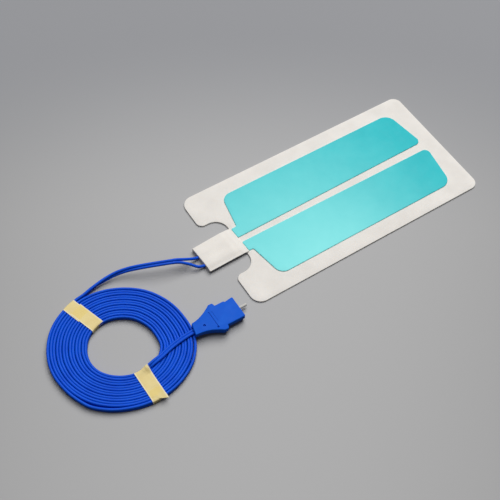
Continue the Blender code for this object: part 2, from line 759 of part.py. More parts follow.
def flat_bar(width, height, start, end, middle=0.0):
    """Returns a box along the plug's axis."""
    low = (start, middle - width / 2, PLUG_MID - height / 2)
    high = (end, middle + width / 2, PLUG_MID + height / 2)
    return block(low, high)


def window_mouth(middle):
    """Returns the tapered mouth of a contact window, whose narrow end lies inside the window."""
    width = CONTACT_WIDTH + 2 * SEAT_CLEARANCE - MOUTH_CHAMFER
    height = CONTACT_HEIGHT + 2 * SEAT_CLEARANCE - MOUTH_CHAMFER
    bm = flat_bar(width, height, PLUG_LENGTH - 1.5 * MOUTH_CHAMFER, PLUG_LENGTH + MOUTH_CHAMFER, middle)
    for vert in bm.verts:
        if vert.co.x > PLUG_LENGTH:
            vert.co.y += math.copysign(2.5 * MOUTH_CHAMFER, vert.co.y - middle)
            vert.co.z += math.copysign(2.5 * MOUTH_CHAMFER, vert.co.z - PLUG_MID)
    return bm


def post(radius, place, low, high):
    """Returns an upright round post."""
    depth = high - low
    bm = bmesh.new()
    middle = Matrix.Translation((place.x, place.y, (low + high) / 2))
    bmesh.ops.create_cone(bm, cap_ends=True, segments=20, radius1=radius, radius2=radius, depth=depth, matrix=middle)
    return bm


def plug_cutters(frame):
    """Returns the shapes cut from both halves: lead entry, inner chamber, contact seats and pin seat."""
    chamber_height = PLUG_HEIGHT - 2 * SHELL_WALL
    chamber = [(x, y, r) for x, y, r in plug_corners(SHELL_WALL, ENTRY_LENGTH) if x < NOSE_START]
    end = NOSE_START + SEAT_CLEARANCE
    chamber_plan = rounded_outline(chamber, 3)
    cut = prism(chamber_plan, PLUG_MID - chamber_height / 2, PLUG_MID + chamber_height / 2)
    cutters = [add_cutter("plug_chamber", cut, frame)]
    gap = 2 * SEAT_CLEARANCE
    entry = flat_bar(2 * STRAND_DIAMETER + gap, STRAND_DIAMETER + gap, -ENTRY_LENGTH, end - WING_START + ENTRY_LENGTH)
    cutters.append(add_cutter("lead_entry", entry, frame))
    seat_start = PLUG_LENGTH - CONTACT_RECESS - CONTACT_LENGTH - SEAT_CLEARANCE
    for label, side in (("left", 1), ("right", -1)):
        middle = side * CONTACT_SPACING / 2
        seat = flat_bar(CONTACT_WIDTH + gap, CONTACT_HEIGHT + gap, WING_START, PLUG_LENGTH + 1, middle)
        cutters.append(add_cutter(f"contact_seat_{label}", seat, frame))
        cutters.append(add_cutter(f"window_mouth_{label}", window_mouth(middle), frame))
    pin_start = PLUG_LENGTH - PIN_ROOT - SEAT_CLEARANCE
    bore = rod(PIN_DIAMETER / 2 + SEAT_CLEARANCE, pin_start, PLUG_LENGTH + 1, PLUG_MID)
    cutters.append(add_cutter("pin_bore", bore, frame))
    collar_end = pin_start + PIN_COLLAR_LENGTH + gap
    collar = rod(PIN_COLLAR_DIAMETER / 2 + SEAT_CLEARANCE, pin_start, collar_end, PLUG_MID)
    cutters.append(add_cutter("pin_collar_seat", collar, frame))
    return cutters


def add_pegs(upper, lower, frame):
    """Stands a boss in each wing of both halves, with a peg on the lower one that locates the upper one."""
    floor = SHELL_WALL / 2
    below = PLUG_MID - PARTING_GAP / 2
    above = PLUG_MID + PARTING_GAP / 2
    for label, side in (("left", 1), ("right", -1)):
        place = Vector((PEG_PLACE.x, side * PEG_PLACE.y, 0.0))
        foot = post(BOSS_DIAMETER / 2, place, floor, below)
        boolean(lower, add_cutter(f"boss_foot_{label}", foot, frame), "UNION")
        peg = post(PEG_DIAMETER / 2, place, floor, above + PEG_REACH)
        boolean(lower, add_cutter(f"peg_{label}", peg, frame), "UNION")
        head = post(BOSS_DIAMETER / 2, place, above, PLUG_HEIGHT - floor)
        boolean(upper, add_cutter(f"boss_head_{label}", head, frame), "UNION")
        socket = post(PEG_DIAMETER / 2 + SEAT_CLEARANCE, place, PLUG_MID, above + PEG_REACH + SEAT_CLEARANCE)
        boolean(upper, add_cutter(f"peg_socket_{label}", socket, frame))


def make_shells(material, frame):
    """Makes the plug's two moulded halves, with grip grooves and a gate dimple in the upper one."""
    upper = add_mesh("plug_shell_upper", shell_half(1), material, frame)
    lower = add_mesh("plug_shell_lower", shell_half(-1), material, frame)
    for cutter in plug_cutters(frame):
        boolean(upper, cutter)
        boolean(lower, cutter)
    add_pegs(upper, lower, frame)
    for index, (x, middle, length, depth) in enumerate(GROOVES):
        low = (x - GROOVE_WIDTH / 2, middle - length / 2, PLUG_HEIGHT - depth)
        high = (x + GROOVE_WIDTH / 2, middle + length / 2, PLUG_HEIGHT + depth)
        boolean(upper, add_cutter(f"grip_groove_{index}", block(low, high), frame))
    dimple = post(DIMPLE_DIAMETER / 2, Vector((DIMPLE_PLACE, 0.0, 0.0)), PLUG_HEIGHT - DIMPLE_DEPTH, 2 * PLUG_HEIGHT)
    boolean(upper, add_cutter("gate_dimple", dimple, frame))


def make_contacts(material, frame):
    """Makes the two socket contacts, each with its mating slot and its crimp barrel."""
    front = PLUG_LENGTH - CONTACT_RECESS
    back = front - CONTACT_LENGTH
    for label, side in (("left", 1), ("right", -1)):
        middle = side * CONTACT_SPACING / 2
        body = flat_bar(CONTACT_WIDTH, CONTACT_HEIGHT, back, front, middle)
        contact = add_mesh(f"plug_contact_{label}", body, material, frame)
        edge = contact.modifiers.new("edges", "BEVEL")
        edge.width = CONTACT_HEIGHT / 8
        edge.segments = 1
        barrel = rod(CONTACT_HEIGHT / 2, back - CRIMP_LENGTH, back + CRIMP_OVERLAP, PLUG_MID, 12)
        cutter = add_cutter(f"crimp_barrel_{label}", shifted(barrel, (0, middle, 0)), frame)
        boolean(contact, cutter, "UNION")
        slot = flat_bar(CONTACT_SLOT_WIDTH, CONTACT_SLOT_HEIGHT, front - CONTACT_SLOT_DEPTH, front + 1, middle)
        boolean(contact, add_cutter(f"contact_slot_{label}", slot, frame))


def make_pin(material, frame):
    """Makes the turned centre pin with the collar that holds it between the halves."""
    start = PLUG_LENGTH - PIN_ROOT
    tip = PLUG_LENGTH + PIN_REACH
    radius = PIN_DIAMETER / 2
    collar = PIN_COLLAR_DIAMETER / 2
    tip_arc = []
    for angle in (math.pi / 8 * i for i in range(5)):
        short = PIN_TIP_RADIUS * (1 - math.sin(angle))
        drawn = PIN_TIP_RADIUS * (1 - math.cos(angle))
        tip_arc.append((tip - short, radius - drawn))
    profile = [(start, 0.0), (start, collar), (start + PIN_COLLAR_LENGTH, collar), (start + PIN_COLLAR_LENGTH, radius)]
    profile += tip_arc + [(tip, 0.0)]
    bm = bmesh.new()
    verts = [bm.verts.new((x, r, 0.0)) for x, r in profile]
    edges = [bm.edges.new(pair) for pair in zip(verts, verts[1:])]
    bmesh.ops.spin(
        bm, geom=verts + edges, cent=(0, 0, 0), axis=(1, 0, 0), angle=2 * math.pi, steps=20, use_merge=True
    )
    bmesh.ops.remove_doubles(bm, verts=bm.verts, dist=1e-7)
    add_mesh("plug_pin", shifted(bm, (0.0, 0.0, PLUG_MID)), material, frame)


def make_inner_strands(material, frame):
    """Makes the two strands inside the plug, from the lead's end to the crimp barrels."""
    start = ENTRY_LENGTH + CLEARANCE
    end = PLUG_LENGTH - CONTACT_RECESS - CONTACT_LENGTH - CRIMP_LENGTH - CLEARANCE
    for label, side in (("left", 1), ("right", -1)):
        inner = side * (STRAND_DIAMETER / 2 + SNUG)
        outer = side * CONTACT_SPACING / 2
        shares = (0.0, 0.25, 0.5, 0.75, 1.0)
        route = [(start + (end - start) * t, inner + (outer - inner) * smoothstep(t), PLUG_MID) for t in shares]
        add_lead(f"plug_strand_{label}", smooth_route(route, ROUTE_SPACING / 2), material, frame)


def make_plug(blue, metal, nylon, insulation):
    """Makes the plug, its tail propped up by the lead that crosses the coil."""
    lift = PLUG_LENGTH * math.sin(PLUG_TILT)
    place = LEAD_ORIGIN + PLUG_PLACE + Vector((0.0, 0.0, lift))
    frame = add_frame("plug_frame", place, (0.0, PLUG_TILT, 0.0))
    make_shells(blue, frame)
    make_contacts(metal, frame)
    make_pin(nylon, frame)
    make_inner_strands(insulation, frame)


def main():
    """Builds every piece."""
    clear_scene()
    foam = make_material("white_foam", (0.78, 0.76, 0.72), 0.85)
    cover_foam = make_material("cover_foam", (0.80, 0.78, 0.73), 0.85)
    foil = make_material("aluminium_foil", (0.80, 0.80, 0.82), 0.35, 1.0)
    gel = make_material("teal_gel", (0.05, 0.62, 0.65), 0.30)
    insulation = make_material("blue_insulation", (0.01, 0.09, 0.62), 0.40)
    tape = make_material("cream_tape", (0.80, 0.66, 0.33), 0.70)
    plug = make_material("blue_moulding", (0.012, 0.11, 0.62), 0.35)
    terminal = make_material("tinned_brass", (0.75, 0.70, 0.60), 0.30, 1.0)
    nylon = make_material("natural_nylon", (0.80, 0.79, 0.74), 0.40)
    make_foam(foam)
    make_conductors(foil, gel)
    clamp = make_cover(cover_foam)
    make_terminals(terminal, clamp)
    make_free_lead(insulation, clamp)
    make_coil(insulation)
    make_crossing(insulation)
    make_tie("tie_upper", UPPER_TIE_ANGLE, UPPER_TIE_WIDTH, UPPER_TIE_SHIFT, 0.0, tape)
    make_tie("tie_lower", LOWER_TIE_ANGLE, LOWER_TIE_WIDTH, LOWER_TIE_SHIFT, LOWER_TIE_FLAP, tape)
    make_plug(plug, terminal, nylon, insulation)


main()
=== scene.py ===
"""Looks of a split return electrode: foam pad, teal gels, taped coil of twin lead and its plug.

Everything is in metres in the model's own frame: +X runs along the pad away from the lead, +Y to the
pad's left and +Z up, with the floor at zero.
"""

from __future__ import annotations

import json
import logging
import math
from dataclasses import dataclass, field
from enum import Enum
from functools import cached_property
from typing import Any, Iterable, Sequence

import bmesh
import bpy
from mathutils import Matrix, Vector, noise

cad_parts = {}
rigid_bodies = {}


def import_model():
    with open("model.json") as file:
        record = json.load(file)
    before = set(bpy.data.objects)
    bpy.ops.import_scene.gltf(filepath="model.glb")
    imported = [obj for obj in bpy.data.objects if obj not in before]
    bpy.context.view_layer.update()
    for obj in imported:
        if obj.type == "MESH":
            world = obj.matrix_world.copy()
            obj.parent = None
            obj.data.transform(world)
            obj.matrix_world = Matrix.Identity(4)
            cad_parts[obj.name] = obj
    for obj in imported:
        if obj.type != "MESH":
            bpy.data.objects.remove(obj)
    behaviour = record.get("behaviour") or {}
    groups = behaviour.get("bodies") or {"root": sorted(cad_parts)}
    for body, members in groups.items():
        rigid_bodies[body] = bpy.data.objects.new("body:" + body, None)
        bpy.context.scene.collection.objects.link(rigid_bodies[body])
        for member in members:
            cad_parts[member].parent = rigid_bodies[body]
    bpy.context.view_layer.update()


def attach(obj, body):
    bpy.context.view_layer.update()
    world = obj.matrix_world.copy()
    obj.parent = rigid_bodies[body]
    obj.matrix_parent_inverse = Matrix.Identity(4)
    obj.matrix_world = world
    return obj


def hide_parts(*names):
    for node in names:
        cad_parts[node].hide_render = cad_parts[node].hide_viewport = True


LOG = logging.getLogger("return_electrode")

Colour = tuple[float, float, float]
Corner = tuple[float, float, float]
Sample = tuple[float, float, float, float]
Plain = tuple[tuple[str, Any], ...]
Mesh = bmesh.types.BMesh
Piece = bpy.types.Object
Material = bpy.types.Material
Tree = bpy.types.NodeTree
Node = bpy.types.Node
Socket = bpy.types.NodeSocket


class Named(Enum):
    """A choice whose word is also used in the names of pieces."""

    @property
    def label(self) -> str:
        """The word used in names."""
        return self.name.lower()


class Side(Named):
    """Which half of the pad, or which strand of the lead."""

    LEFT = 1
    RIGHT = -1


class Level(Named):
    """Which moulded half of the plug."""

    UPPER = 1
    LOWER = -1


def srgb(red: int, green: int, blue: int) -> Colour:
    """Turns a colour as it shows on a screen into the linear one that a shader takes.

    Args:
        red: Red from 0 to 255.
        green: Green from 0 to 255.
        blue: Blue from 0 to 255.

    Returns:
        The linear colour.
    """
    channels = (value / 255 for value in (red, green, blue))
    linear = [c / 12.92 if c <= 0.04045 else ((c + 0.055) / 1.055) ** 2.4 for c in channels]
    return (linear[0], linear[1], linear[2])


def smoothstep(share: float) -> float:
    """Eases a share, held between 0 and 1."""
    share = min(max(share, 0.0), 1.0)
    return share * share * (3 - 2 * share)


# Shader building


class Wiring:
    """A node tree being built: adds nodes, sets their sockets and links them."""

    def __init__(self, tree: Tree) -> None:
        """Starts wiring in a tree."""
        self.tree = tree

    def add(self, kind: str, settings: dict[str, Any] | None = None, **sockets: Any) -> Node:
        """Adds a node.

        Args:
            kind: The node's type name.
            settings: Properties of the node itself.
            **sockets: Input names, spaces written as underscores, with a value or another node's output.

        Returns:
            The new node.
        """
        node = self.tree.nodes.new(kind)
        for key, value in (settings or {}).items():
            setattr(node, key, value)
        for key, value in sockets.items():
            self.feed(node, key.replace("_", " "), value)
        return node

    def feed(self, node: Node, name: str | int, value: Any) -> None:
        """Sets an input to a value, or links it to an output.

        Args:
            node: The node that is fed.
            name: The input's name or number.
            value: A number, a colour, a vector or an output socket.
        """
        socket = node.inputs[name]
        if isinstance(value, Socket):
            self.tree.links.new(value, socket)
        elif socket.type == "RGBA" and len(value) == 3:
            socket.default_value = (*value, 1.0)
        else:
            socket.default_value = value

    def group(self, tree: Tree, *values: Any) -> Sequence[Socket]:
        """Places a shared node group.

        Args:
            tree: The group.
            *values: Values or output sockets for its inputs, in order.

        Returns:
            Its outputs.
        """
        node = self.add("ShaderNodeGroup", {"node_tree": tree})
        for index, value in enumerate(values):
            self.feed(node, index, value)
        return node.outputs

    def math(self, operation: str, *values: Any) -> Socket:
        """Adds a Math node.

        Args:
            operation: The operation's name.
            *values: Numbers or output sockets, in order.

        Returns:
            The result.
        """
        node = self.add("ShaderNodeMath", {"operation": operation})
        for index, value in enumerate(values):
            self.feed(node, index, value)
        return node.outputs[0]

    def held(self, value: Socket) -> Socket:
        """Holds a value between 0 and 1."""
        return self.math("MINIMUM", self.math("MAXIMUM", value, 0.0), 1.0)

    def here(self) -> Socket:
        """Gets the shaded place on the object."""
        return self.add("ShaderNodeTexCoord").outputs["Object"]

    def noise(self, place: Socket, scale: Any, detail: float, **more: float) -> Socket:
        """Adds a noise texture and gets its value."""
        return self.add("ShaderNodeTexNoise", Vector=place, Scale=scale, Detail=detail, **more).outputs[0]

    def mix(self, share: Any, first: Any, second: Any) -> Socket:
        """Mixes two colours.

        Args:
            share: The second colour's share.
            first: The first colour, or an output that gives it.
            second: The second one.

        Returns:
            The mixed colour.
        """
        node = self.add("ShaderNodeMix", {"data_type": "RGBA"})
        for index, value in ((0, share), (6, first), (7, second)):
            self.feed(node, index, value)
        return node.outputs[2]

    def span(
        self, value: Socket, source: Sequence[Any], target: Sequence[Any] = (0.0, 1.0), eased: bool = False
    ) -> Socket:
        """Maps one span of values on to another, held at its ends.

        Args:
            value: The value to map.
            source: Where the span starts and ends.
            target: What its start and its end become.
            eased: Whether it starts and ends softly.

        Returns:
            The mapped value.
        """
        kind = "SMOOTHSTEP" if eased else "LINEAR"
        node = self.add("ShaderNodeMapRange", {"interpolation_type": kind}, Value=value)
        for name, given in zip(("From Min", "From Max", "To Min", "To Max"), (*source, *target)):
            self.feed(node, name, given)
        return node.outputs[0]

    def bump(self, shader: Node, height: Socket, depth: float, strength: float = 1.0) -> None:
        """Gives a shader a bump, of which a height of 1 is so many metres deep."""
        bump = self.add("ShaderNodeBump", Height=height, Distance=depth, Strength=strength)
        self.feed(shader, "Normal", bump.outputs[0])


def new_group(
    name: str, kind: str, inputs: Sequence[tuple[str, str, Any]], outputs: Sequence[tuple[str, str]]
) -> tuple[Wiring, Sequence[Socket]]:
    """Starts a node group.

    Args:
        name: The group's name.
        kind: The tree's type name.
        inputs: Name, kind of socket and default value of each input.
        outputs: Name and kind of socket of each output.

    Returns:
        The wiring of its tree, and what its inputs give.
    """
    tree = bpy.data.node_groups.new(name, kind)
    for label, socket, default in inputs:
        made = tree.interface.new_socket(name=label, in_out="INPUT", socket_type=f"NodeSocket{socket}")
        if default is not None:
            made.default_value = default
    for label, socket in outputs:
        tree.interface.new_socket(name=label, in_out="OUTPUT", socket_type=f"NodeSocket{socket}")
    wire = Wiring(tree)
    return wire, wire.add("NodeGroupInput").outputs


class SharedEffects:
    """Shader node groups that more than one finish uses, each built once."""

    middle: tuple[float, float] = (0.3, 0.7)

    @cached_property
    def mottle(self) -> Tree:
        """The group that mixes two colours in soft clouds with finer specks.

        Returns:
            Its tree.
        """
        wire, given = new_group(
            "mottle",
            "ShaderNodeTree",
            [
                ("Colour", "Color", (0.8, 0.8, 0.8, 1.0)),
                ("Clouded", "Color", (0.6, 0.6, 0.6, 1.0)),
                ("Cloud Scale", "Float", 40.0),
                ("Speck Scale", "Float", 900.0),
                ("Speck Share", "Float", 0.3),
            ],
            [("Colour", "Color"), ("Mask", "Float")],
        )
        place = wire.here()
        clouds = wire.noise(place, given["Cloud Scale"], 4.0, Roughness=0.55)
        specks = wire.math("SUBTRACT", wire.noise(place, given["Speck Scale"], 2.0), 0.5)
        fine = wire.math("MULTIPLY", specks, given["Speck Share"])
        mask = wire.held(wire.math("ADD", wire.span(clouds, self.middle), fine))
        wire.add("NodeGroupOutput", Colour=wire.mix(mask, given["Colour"], given["Clouded"]), Mask=mask)
        return wire.tree

    @cached_property
    def pores(self) -> Tree:
        """The group that gives a height of small rounded cells.

        Returns:
            Its tree.
        """
        sizes = [("Cell Scale", "Float", 2400.0), ("Unevenness", "Float", 0.5)]
        wire, given = new_group("pores", "ShaderNodeTree", sizes, [("Height", "Float")])
        place = wire.here()
        values = {"Vector": place, "Scale": given["Cell Scale"], "Smoothness": 0.6}
        cells = wire.add("ShaderNodeTexVoronoi", {"feature": "SMOOTH_F1"}, **values).outputs["Distance"]
        rise = wire.math("MULTIPLY", wire.noise(place, 320.0, 3.0), given["Unevenness"])
        wire.add("NodeGroupOutput", Height=wire.math("ADD", cells, rise))
        return wire.tree

    @cached_property
    def grain(self) -> Tree:
        """The group that gives a fine even grain and a slightly smeared roughness.

        Returns:
            Its tree.
        """
        sizes = [("Grain Scale", "Float", 5000.0), ("Least", "Float", 0.3), ("Most", "Float", 0.4)]
        results = [("Height", "Float"), ("Roughness", "Float")]
        wire, given = new_group("grain", "ShaderNodeTree", sizes, results)
        place = wire.here()
        fine = wire.noise(place, given["Grain Scale"], 3.0, Roughness=0.6)
        smear = wire.noise(place, 160.0, 2.0)
        rough = wire.span(smear, self.middle, (given["Least"], given["Most"]))
        wire.add("NodeGroupOutput", Height=fine, Roughness=rough)
        return wire.tree


EFFECTS = SharedEffects()


def new_material(name: str) -> tuple[Material, Wiring, Node]:
    """Starts a material.

    Args:
        name: The material's name.

    Returns:
        The material, the wiring of its tree, and its Principled shader.
    """
    material = bpy.data.materials.new(name)
    material.use_nodes = True
    return material, Wiring(material.node_tree), material.node_tree.nodes["Principled BSDF"]


@dataclass(frozen=True)
class Clouds:
    """How a finish's second colour lies in its first: clouds and specks to the metre, the specks' share."""

    clouds: float
    specks: float
    share: float


@dataclass(frozen=True)
class Grain:
    """A fine grain: its scale, the least and most roughness, and the depth and strength of its bump."""

    scale: float = 5000.0
    least: float = 0.3
    most: float = 0.4
    depth: float = 0.00001
    strength: float = 0.6


@dataclass(frozen=True)
class Finish:
    """A finish of two colours that cloud into each other, with a fine grain unless it says otherwise."""

    name: str
    colour: Colour
    clouded: Colour
    clouds: Clouds
    plain: Plain = ()
    grain: Grain = Grain()

    def material(self) -> Material:
        """Builds the material from the colours, the surface and the plain values of the finish.

        Returns:
            The material.
        """
        material, wire, shader = new_material(self.name)
        values = (self.colour, self.clouded, self.clouds.clouds, self.clouds.specks, self.clouds.share)
        tint = wire.group(EFFECTS.mottle, *values)[0]
        wire.feed(shader, "Base Color", self.colouring(wire, tint))
        self.surface(wire, shader)
        for name, value in self.plain:
            wire.feed(shader, name, value)
        return material

    def colouring(self, wire: Wiring, tint: Socket) -> Socket:
        """Keeps the clouded tint as the colour."""
        return tint

    def surface(self, wire: Wiring, shader: Node) -> None:
        """Breaks up the sheen with the shared grain.

        Args:
            wire: The material's wiring.
            shader: Its Principled shader.
        """
        grain = self.grain
        height, roughness = wire.group(EFFECTS.grain, grain.scale, grain.least, grain.most)
        wire.feed(shader, "Roughness", roughness)
        wire.bump(shader, height, grain.depth, grain.strength)


@dataclass(frozen=True)
class FoamFinish(Finish):
    """White closed-cell foam: matt, with fine rounded cells and a slightly uneven skin."""

    name: str = "white_foam_skin"
    colour: Colour = srgb(232, 228, 223)
    clouded: Colour = srgb(223, 219, 214)
    clouds: Clouds = Clouds(55.0, 1500.0, 0.5)
    plain: Plain = (
        ("Roughness", 0.78),
        ("Specular IOR Level", 0.3),
        ("Subsurface Weight", 0.12),
        ("Subsurface Scale", 0.0012),
        ("Subsurface Radius", (1.0, 0.9, 0.8)),
    )
    cells_per_metre: float = 2100.0
    unevenness: float = 0.7
    cell_depth: float = 0.00005

    def surface(self, wire: Wiring, shader: Node) -> None:
        """Gives the skin its cells."""
        pores = wire.group(EFFECTS.pores, self.cells_per_metre, self.unevenness)
        wire.bump(shader, pores[0], self.cell_depth)


@dataclass(frozen=True)
class GelFinish(Finish):
    """Teal hydrogel: soft gloss and faint clouds, with a painted sheen that pales it towards the lead, and
    painted light on its rim.
    """

    name: str = "teal_hydrogel"
    colour: Colour = srgb(40, 191, 199)
    clouded: Colour = srgb(34, 184, 193)
    clouds: Clouds = Clouds(38.0, 420.0, 0.8)
    plain: Plain = (("Specular IOR Level", 0.12),)
    grain: Grain = Grain(1400.0, 0.42, 0.52, 0.00002, 0.7)
    # Painted sheen: the paler teal that the gel is mixed towards, nearer the lead
    paler: Colour = srgb(136, 232, 233)
    # Painted light: the pale colour of the rounded rim, which lifts the shade on its sides
    rim: Colour = srgb(196, 240, 238)
    rim_light_heights: tuple[float, float] = (0.00125, 0.00170)
    along: tuple[float, float] = (-0.040, 0.105)
    across: tuple[float, float] = (-0.04, 0.04)
    across_shares: tuple[float, float] = (0.99, 0.41)
    blotches: float = 26.0
    blotch_share: float = 0.16

    def colouring(self, wire: Wiring, tint: Socket) -> Socket:
        """Paints a sheen that makes the gel paler towards the lead, in soft blotches, and paints light on its
        rounded rim.

        Args:
            wire: The material's wiring.
            tint: The clouded tint.

        Returns:
            The colour.
        """
        place = wire.here()
        x, y, z = wire.add("ShaderNodeSeparateXYZ", Vector=place).outputs
        # How much painted sheen: most towards the lead and on one side, broken into soft blotches below
        sheen_share = wire.math(
            "MULTIPLY",
            wire.span(x, self.along, (1.0, 0.0), eased=True),
            wire.span(y, self.across, self.across_shares),
        )
        blotch = wire.math("SUBTRACT", wire.noise(place, self.blotches, 3.0, Distortion=0.6), 0.5)
        share = wire.held(wire.math("ADD", sheen_share, wire.math("MULTIPLY", blotch, self.blotch_share)))
        # The rim's painted light fades out between its two heights
        return wire.mix(wire.span(z, self.rim_light_heights), self.rim, wire.mix(share, tint, self.paler))


@dataclass(frozen=True)
class InsulationFinish(Finish):
    """Royal blue soft vinyl insulation with a low sheen."""

    name: str = "blue_vinyl"
    colour: Colour = srgb(9, 87, 218)
    clouded: Colour = srgb(5, 78, 208)
    clouds: Clouds = Clouds(90.0, 1800.0, 0.4)
    plain: Plain = (("Specular IOR Level", 0.14),)
    grain: Grain = Grain(3500.0, 0.42, 0.52, 0.00001, 0.6)


@dataclass(frozen=True)
class MouldingFinish(Finish):
    """Blue moulded plastic of the plug: satin, with a fine spark-eroded grain and paler sharp edges."""

    name: str = "blue_moulding"
    colour: Colour = srgb(14, 90, 208)
    clouded: Colour = srgb(10, 85, 202)
    clouds: Clouds = Clouds(120.0, 2600.0, 0.4)
    plain: Plain = (("Specular IOR Level", 0.09),)
    grain: Grain = Grain(6000.0, 0.52, 0.62, 0.000012, 0.8)
    # The sharp edges, found by their pointiness, are mixed towards this paler blue
    edge_pale: Colour = srgb(26, 104, 218)
    edge_pale_from: tuple[float, float] = (0.52, 0.60)
    edge_pale_share: float = 0.6

    def colouring(self, wire: Wiring, tint: Socket) -> Socket:
        """Makes the sharp edges paler."""
        edge = wire.add("ShaderNodeNewGeometry").outputs["Pointiness"]
        return wire.mix(wire.span(edge, self.edge_pale_from, (0.0, self.edge_pale_share)), tint, self.edge_pale)


@dataclass(frozen=True)
class CrepeFinish(Finish):
    """Cream crepe paper tape: matt, creased, yellower where doubled, with a painted highlight along its long
    edges.
    """

    name: str = "cream_crepe_tape"
    colour: Colour = srgb(231, 214, 155)
    clouded: Colour = srgb(224, 203, 142)
    clouds: Clouds = Clouds(160.0, 2400.0, 0.7)
    plain: Plain = (("Roughness", 0.72), ("Specular IOR Level", 0.2))
    doubled: Colour = srgb(230, 207, 130)
    doubled_share: float = 0.75
    # Painted highlight: the pale colour laid along both long edges of the tape
    cut_edge: Colour = srgb(240, 238, 222)
    edge_highlight_share: float = 0.5
    stretch: tuple[float, float, float] = (1.0, 0.28, 1.0)
    folds: float = 1900.0
    fibres: float = 700.0

    def colouring(self, wire: Wiring, tint: Socket) -> Socket:
        """Colours the lap yellower and paints a highlight along the long edges, by the tape's own masks.

        Args:
            wire: The material's wiring.
            tint: The clouded tint.

        Returns:
            The colour.
        """
        for mask, colour, share in (
            ("doubled", self.doubled, self.doubled_share),
            ("cut_edge", self.cut_edge, self.edge_highlight_share),
        ):
            there = wire.add("ShaderNodeAttribute", {"attribute_name": mask}).outputs["Fac"]
            tint = wire.mix(wire.math("MULTIPLY", there, share), tint, colour)
        return tint

    def surface(self, wire: Wiring, shader: Node) -> None:
        """Creases the tape, following its UV map.

        Args:
            wire: The material's wiring.
            shader: Its Principled shader.
        """
        strip = wire.add("ShaderNodeTexCoord").outputs["UV"]
        sized = wire.add("ShaderNodeMapping", Vector=strip, Scale=self.stretch).outputs[0]
        creases = wire.noise(sized, self.folds, 3.0, Distortion=0.4)
        fibre = wire.math("MULTIPLY", wire.noise(strip, self.fibres, 2.0), 0.5)
        wire.bump(shader, wire.math("ADD", creases, fibre), 0.00003, 0.7)


@dataclass(frozen=True)
class NylonFinish(Finish):
    """Natural milky nylon of the centre pin."""

    name: str = "milky_nylon"
    colour: Colour = srgb(196, 195, 191)
    clouded: Colour = srgb(188, 186, 182)
    clouds: Clouds = Clouds(300.0, 4000.0, 0.4)
    plain: Plain = (
        ("Specular IOR Level", 0.2),
        ("Subsurface Weight", 0.3),
        ("Subsurface Scale", 0.002),
        ("Subsurface Radius", (1.0, 0.95, 0.85)),
    )
    grain: Grain = Grain(7000.0, 0.46, 0.56, 0.000006, 0.6)


@dataclass(frozen=True)
class SheetMetalFinish(Finish):
    """Rolled or formed metal, drawn along one axis."""

    clouds: Clouds = Clouds(200.0, 3000.0, 0.4)
    plain: Plain = (("Metallic", 1.0),)
    lines_per_metre: float = 5000.0
    roughness: tuple[float, float] = (0.24, 0.40)
    stretch: tuple[float, float, float] = (0.02, 1.0, 1.0)

    def surface(self, wire: Wiring, shader: Node) -> None:
        """Draws fine lines along the metal.

        Args:
            wire: The material's wiring.
            shader: Its Principled shader.
        """
        drawn = wire.add("ShaderNodeMapping", Vector=wire.here(), Scale=self.stretch).outputs[0]
        lines = wire.noise(drawn, self.lines_per_metre, 2.0)
        wire.feed(shader, "Roughness", wire.span(lines, EFFECTS.middle, self.roughness))
        wire.bump(shader, lines, 0.000008, 0.5)


# Mesh building


def placed(name: str, data: bpy.types.ID) -> Piece:
    """Makes an object at the origin, in the scene.

    Args:
        name: The object's name.
        data: Its mesh, curve, camera or light.

    Returns:
        The object.
    """
    item = bpy.data.objects.new(name, data)
    bpy.context.scene.collection.objects.link(item)
    return item


def rounded_outline(corners: Sequence[Corner], steps: int) -> list[Vector]:
    """Rounds the corners of a closed outline.

    Args:
        corners: The corners as x, y and radius, where radius 0 keeps a point sharp.
        steps: Facets to a corner.

    Returns:
        The outline's points.
    """
    points: list[Vector] = []
    count = len(corners)
    for index, (x, y, radius) in enumerate(corners):
        here = Vector((x, y))
        if radius <= 0.0:
            points.append(here)
            continue
        before = (Vector(corners[index - 1][:2]) - here).normalized()
        after = (Vector(corners[(index + 1) % count][:2]) - here).normalized()
        half = before.angle(after) / 2
        centre = here + (before + after).normalized() * (radius / math.sin(half))
        start = here + before * (radius / math.tan(half)) - centre
        sweep = start.angle_signed(here + after * (radius / math.tan(half)) - centre)
        for step in range(steps + 1):
            points.append(centre + Matrix.Rotation(-sweep * step / steps, 2) @ start)
    return points


def face_outwards(bm: Mesh) -> None:
    """Turns every face of a closed shell outwards.

    Args:
        bm: The closed mesh.
    """
    bm.normal_update()
    bmesh.ops.recalc_face_normals(bm, faces=bm.faces)
    if bm.calc_volume(signed=True) < 0.0:
        bmesh.ops.reverse_faces(bm, faces=bm.faces)


def prism(points: Sequence[Sequence[float]], low: float, high: float) -> Mesh:
    """Raises a flat outline into a solid.

    Args:
        points: The outline in X and Y.
        low: Height of its underside.
        high: Height of its top.

    Returns:
        The solid.
    """
    bm = bmesh.new()
    face = bm.faces.new([bm.verts.new((p[0], p[1], low)) for p in points])
    raised = bmesh.ops.extrude_face_region(bm, geom=[face])["geom"]
    moved = [part for part in raised if isinstance(part, bmesh.types.BMVert)]
    bmesh.ops.translate(bm, vec=(0.0, 0.0, high - low), verts=moved)
    face_outwards(bm)
    return bm


def relaid(bm: Mesh, axes: tuple[int, int, int]) -> Mesh:
    """Lays a solid along other axes.

    Args:
        bm: The solid.
        axes: Which of its axes becomes X, Y and Z.

    Returns:
        The same solid.
    """
    for vert in bm.verts:
        vert.co = [vert.co[axis] for axis in axes]
    face_outwards(bm)
    return bm


